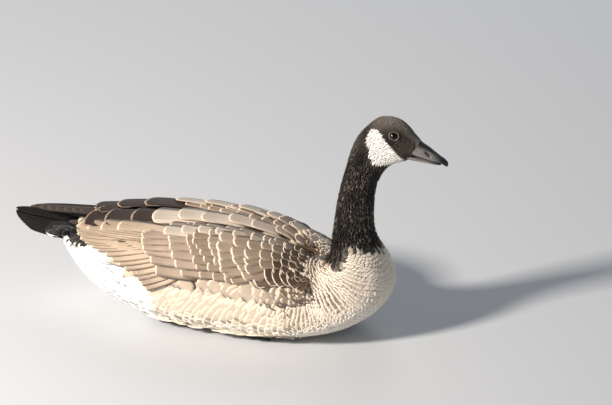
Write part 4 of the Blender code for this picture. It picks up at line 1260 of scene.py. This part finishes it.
def make_upper_bill(sizes, colours, material, rows=72, around=48):
    """The upper half of the bill, with its nail, its nostrils in painted shade and a painted reflection on
    its sides.
    """
    points, where = bill_rings(UPPER_BILL, 0.3, rows, around)
    flat = points.reshape(-1, 3)
    x, z = flat[:, 0] / MM, flat[:, 2] / MM
    nostril = nostrils(flat, sizes)
    nail = smoothstep(253.2, 255.2, x) * smoothstep(241, 242.5, z + (x - 256) * 0.5)
    rear = np.repeat(smoothstep(2.0, 0.0, where), around)  # tucked in under the face
    inward = -flat * (0, 1, 0) / np.maximum(np.abs(flat[:, 1:2]), 1e-6)
    shaped = flat + inward * (nostril * sizes.nostril_depth)[:, None]
    shaped = shaped + np.array([0.5, 0, 0.8]) * (nail * 0.4 * MM)[:, None]
    shaped = shaped - np.array([0.4, 0, 0.4]) * rear[:, None] * MM
    mesh = grid_mesh("bill_top", posed(shaped).reshape(*points.shape), bill_map(0.02, 0.48, rows, around))
    below = ((points[:, :1, 2] - points[..., 2]) / MM).ravel()
    # Painted reflection: the sides are painted grey below the ridge, broken into lines about 3 mm apart, for
    # the sky mirrored in the horn.
    light = smoothstep(3.5, 7.0, below + 0.12 * (x - 215)) * smoothstep(257, 240, x)
    grain = 0.7975 + 0.2025 * np.sin(below * 2.3 + 1.4 * np.sin(x * 0.5))  # lines about 3 mm apart
    ground = mix(colours["bill"], colours["bill_light"], light * grain * 0.8)
    ground = mix(ground, colours["nail"], nail)
    # Painted shade: the nostrils' hollows are painted near black, for the shadow inside them.
    ground = mix(ground, colours["skin_dark"] * 0.3, np.clip(nostril * 1.2, 0, 1))
    set_colours(mesh, "ground", np.clip(ground, 0, 1))
    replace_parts(new_piece("bill_top", mesh, material), "bill_upper")


def make_lower_bill(colours, material, rows=40, around=40):
    """The lower half of the bill, with a painted reflection along its sides."""
    points, _ = bill_rings(LOWER_BILL, 0.75, rows, around)
    mesh = grid_mesh("bill_under", posed(points), bill_map(0.52, 0.98, rows, around))
    above = ((points[..., 2] - points[..., 2].min(axis=1)[:, None]) / MM).ravel()
    # Painted reflection: the lower bill's sides are painted grey for the sky mirrored in the horn.
    light = smoothstep(0.7, 2.2, above) * smoothstep(254, 236, points[..., 0].ravel() / MM)
    set_colours(mesh, "ground", mix(colours["bill"], colours["bill_light"], light * 0.75))
    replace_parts(new_piece("bill_under", mesh, material), "bill_lower")


def make_bill(sizes, colours):
    """Both halves of the bill."""
    # Horn: keratin grown over bone and worn smooth, with a satin gloss and a thin film on it.
    material = mottled_material("bill_horn", HORN_CLOUD, 5.0, 0.5, 0.7, HORN_GRAIN, 4.0, 0.5,
                                Roughness=0.36, Coat_Weight=0.25, Coat_Roughness=0.25)
    make_upper_bill(sizes, colours, material)
    make_lower_bill(colours, material)


def dress_legs(colours):
    """Gives the legs and feet their scaled dark skin."""
    # Leg skin: small horny plates with softer skin between them, dull, with a slight gloss on the plates.
    made, tree, shader = new_material("leg_skin", Roughness=0.5, Coat_Weight=0.1, Coat_Roughness=0.4)
    place = add_node(tree, "ShaderNodeTexCoord").outputs["Object"]
    cells = add_node(tree, "ShaderNodeTexVoronoi", {"Vector": place, "Scale": 1 / LEG_PLATES},
                     feature="DISTANCE_TO_EDGE")
    plates = add_node(tree, STEP, (cells, 0.0, 0.12, 0.0, 1.0), **SMOOTH)
    dark, light = (*colours["leg"], 1), (*(colours["leg"] * 1.9), 1)
    colour = add_node(tree, "ShaderNodeMix", {0: plates, 6: dark, 7: light}, data_type="RGBA")
    tree.links.new(colour.outputs[2], shader.inputs["Base Color"])
    relief = add_node(tree, "ShaderNodeBump", {"Height": plates, "Distance": 0.4 * MM, "Strength": 0.8})
    tree.links.new(relief.outputs[0], shader.inputs["Normal"])
    for part in ("leg_left", "leg_right", "foot_left", "foot_right"):
        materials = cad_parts[part].data.materials
        materials.clear()
        materials.append(made)


# Studio

LIGHT_TARGET = (0, 0, 0.12)
CAMERA_AT, CAMERA_TARGET = (1.7001648, -5.28152464, 2.85804583), (0.06578927, 0.06427683, 0.13159113)


def aim(thing, place, target):
    thing.location = place
    thing.rotation_euler = (Vector(target) - Vector(place)).to_track_quat("-Z", "Y").to_euler()
    bpy.context.scene.collection.objects.link(thing)


def make_stage(sizes, colours):
    """A plain pale floor, soft light and the photo's camera."""
    bpy.ops.mesh.primitive_plane_add(size=sizes.floor_width)
    floor = bpy.context.active_object
    floor.name = "floor"
    # Emulsion paint, rolled on a smooth board: quite matt, so that nothing mirrors in it.
    paint, _, _ = new_material("emulsion_paint", Roughness=0.85, Base_Color=(*colours["floor"], 1))
    floor.data.materials.append(paint)
    scene = bpy.context.scene
    scene.world = bpy.data.worlds.new("studio")
    scene.world.use_nodes = True
    background = scene.world.node_tree.nodes["Background"]
    background.inputs["Color"].default_value = (*colours["sky"], 1)
    background.inputs["Strength"].default_value = sizes.sky_strength
    for name, place, power, width in (
        ("key", (-1.6, -1.74, 1.5), sizes.key_power, sizes.key_size),
        ("fill", (2.4, -1.6, 1.2), 2, 1.6),
        ("rim", (-0.4, 2.4, 1.9), 20, 1.4),
    ):
        light = bpy.data.lights.new(name, "AREA")
        light.energy, light.size, light.color = power, width, colours[f"{name}_light"]
        aim(bpy.data.objects.new(name, light), place, LIGHT_TARGET)
    camera = bpy.data.objects.new("camera", bpy.data.cameras.new("camera"))
    camera.data.lens, camera.data.sensor_width = sizes.lens, 36
    aim(camera, CAMERA_AT, CAMERA_TARGET)
    scene.camera = camera
    scene.view_settings.view_transform = "Standard"


# Add-on


class GOOSE_OT_skin(bpy.types.Operator):
    """Make the skin under the feathers"""

    bl_idname = "goose.skin"
    bl_label = "Skin"

    def execute(self, context):
        make_skin(palette(context))
        return {"FINISHED"}


class GOOSE_OT_eyes(bpy.types.Operator):
    """Make the two eyes"""

    bl_idname = "goose.eyes"
    bl_label = "Eyes"

    def execute(self, context):
        make_eyes(context.scene.goose_sizes, palette(context))
        return {"FINISHED"}


class GOOSE_OT_bill(bpy.types.Operator):
    """Make the two halves of the bill"""

    bl_idname = "goose.bill"
    bl_label = "Bill"

    def execute(self, context):
        make_bill(context.scene.goose_sizes, palette(context))
        return {"FINISHED"}


class GOOSE_OT_body(bpy.types.Operator):
    """Lay the small feathers of the body"""

    bl_idname = "goose.body"
    bl_label = "Body feathers"

    def execute(self, context):
        body_feathers(context.scene.goose_sizes, palette(context))
        return {"FINISHED"}


class GOOSE_OT_head(bpy.types.Operator):
    """Lay the short feathers of the neck and head"""

    bl_idname = "goose.head"
    bl_label = "Head feathers"

    def execute(self, context):
        head_feathers(context.scene.goose_sizes, palette(context))
        return {"FINISHED"}


class GOOSE_OT_wings(bpy.types.Operator):
    """Lay the feathers of both folded wings"""

    bl_idname = "goose.wings"
    bl_label = "Wings"

    def execute(self, context):
        wing_feathers(palette(context))
        return {"FINISHED"}


class GOOSE_OT_tail(bpy.types.Operator):
    """Lay the tail's feathers"""

    bl_idname = "goose.tail"
    bl_label = "Tail"

    def execute(self, context):
        tail_feathers(palette(context))
        return {"FINISHED"}


class GOOSE_OT_legs(bpy.types.Operator):
    """Give the legs and feet their skin"""

    bl_idname = "goose.legs"
    bl_label = "Legs"

    def execute(self, context):
        dress_legs(palette(context))
        return {"FINISHED"}


class GOOSE_OT_stage(bpy.types.Operator):
    """Make the floor, lights and camera"""

    bl_idname = "goose.stage"
    bl_label = "Studio"

    def execute(self, context):
        make_stage(context.scene.goose_sizes, palette(context))
        return {"FINISHED"}


OPERATORS = (
    GOOSE_OT_skin, GOOSE_OT_eyes, GOOSE_OT_bill, GOOSE_OT_body, GOOSE_OT_head,
    GOOSE_OT_wings, GOOSE_OT_tail, GOOSE_OT_legs, GOOSE_OT_stage,
)


class GOOSE_PT_panel(bpy.types.Panel):
    """The goose's settings and its pieces in order"""

    bl_label = "Goose"
    bl_idname = "GOOSE_PT_panel"
    bl_space_type = "VIEW_3D"
    bl_region_type = "UI"
    bl_category = "Goose"

    def draw(self, context):
        for title, group in (("Sizes", context.scene.goose_sizes), ("Colours", context.scene.goose_colours)):
            box = self.layout.box()
            box.label(text=title)
            for name in type(group).__annotations__:
                box.prop(group, name)
        for operator in OPERATORS:
            self.layout.operator(operator.bl_idname)


CLASSES = (GooseColours, GooseSizes, *OPERATORS, GOOSE_PT_panel)


def register():
    for cls in CLASSES:
        bpy.utils.register_class(cls)
    bpy.types.Scene.goose_colours = bpy.props.PointerProperty(type=GooseColours)
    bpy.types.Scene.goose_sizes = bpy.props.PointerProperty(type=GooseSizes)


def unregister():
    del bpy.types.Scene.goose_sizes
    del bpy.types.Scene.goose_colours
    for cls in reversed(CLASSES):
        bpy.utils.unregister_class(cls)


def main():
    register()
    for operator in OPERATORS:
        getattr(bpy.ops.goose, operator.bl_idname.split(".")[1])()


if __name__ == "__main__":
    main()
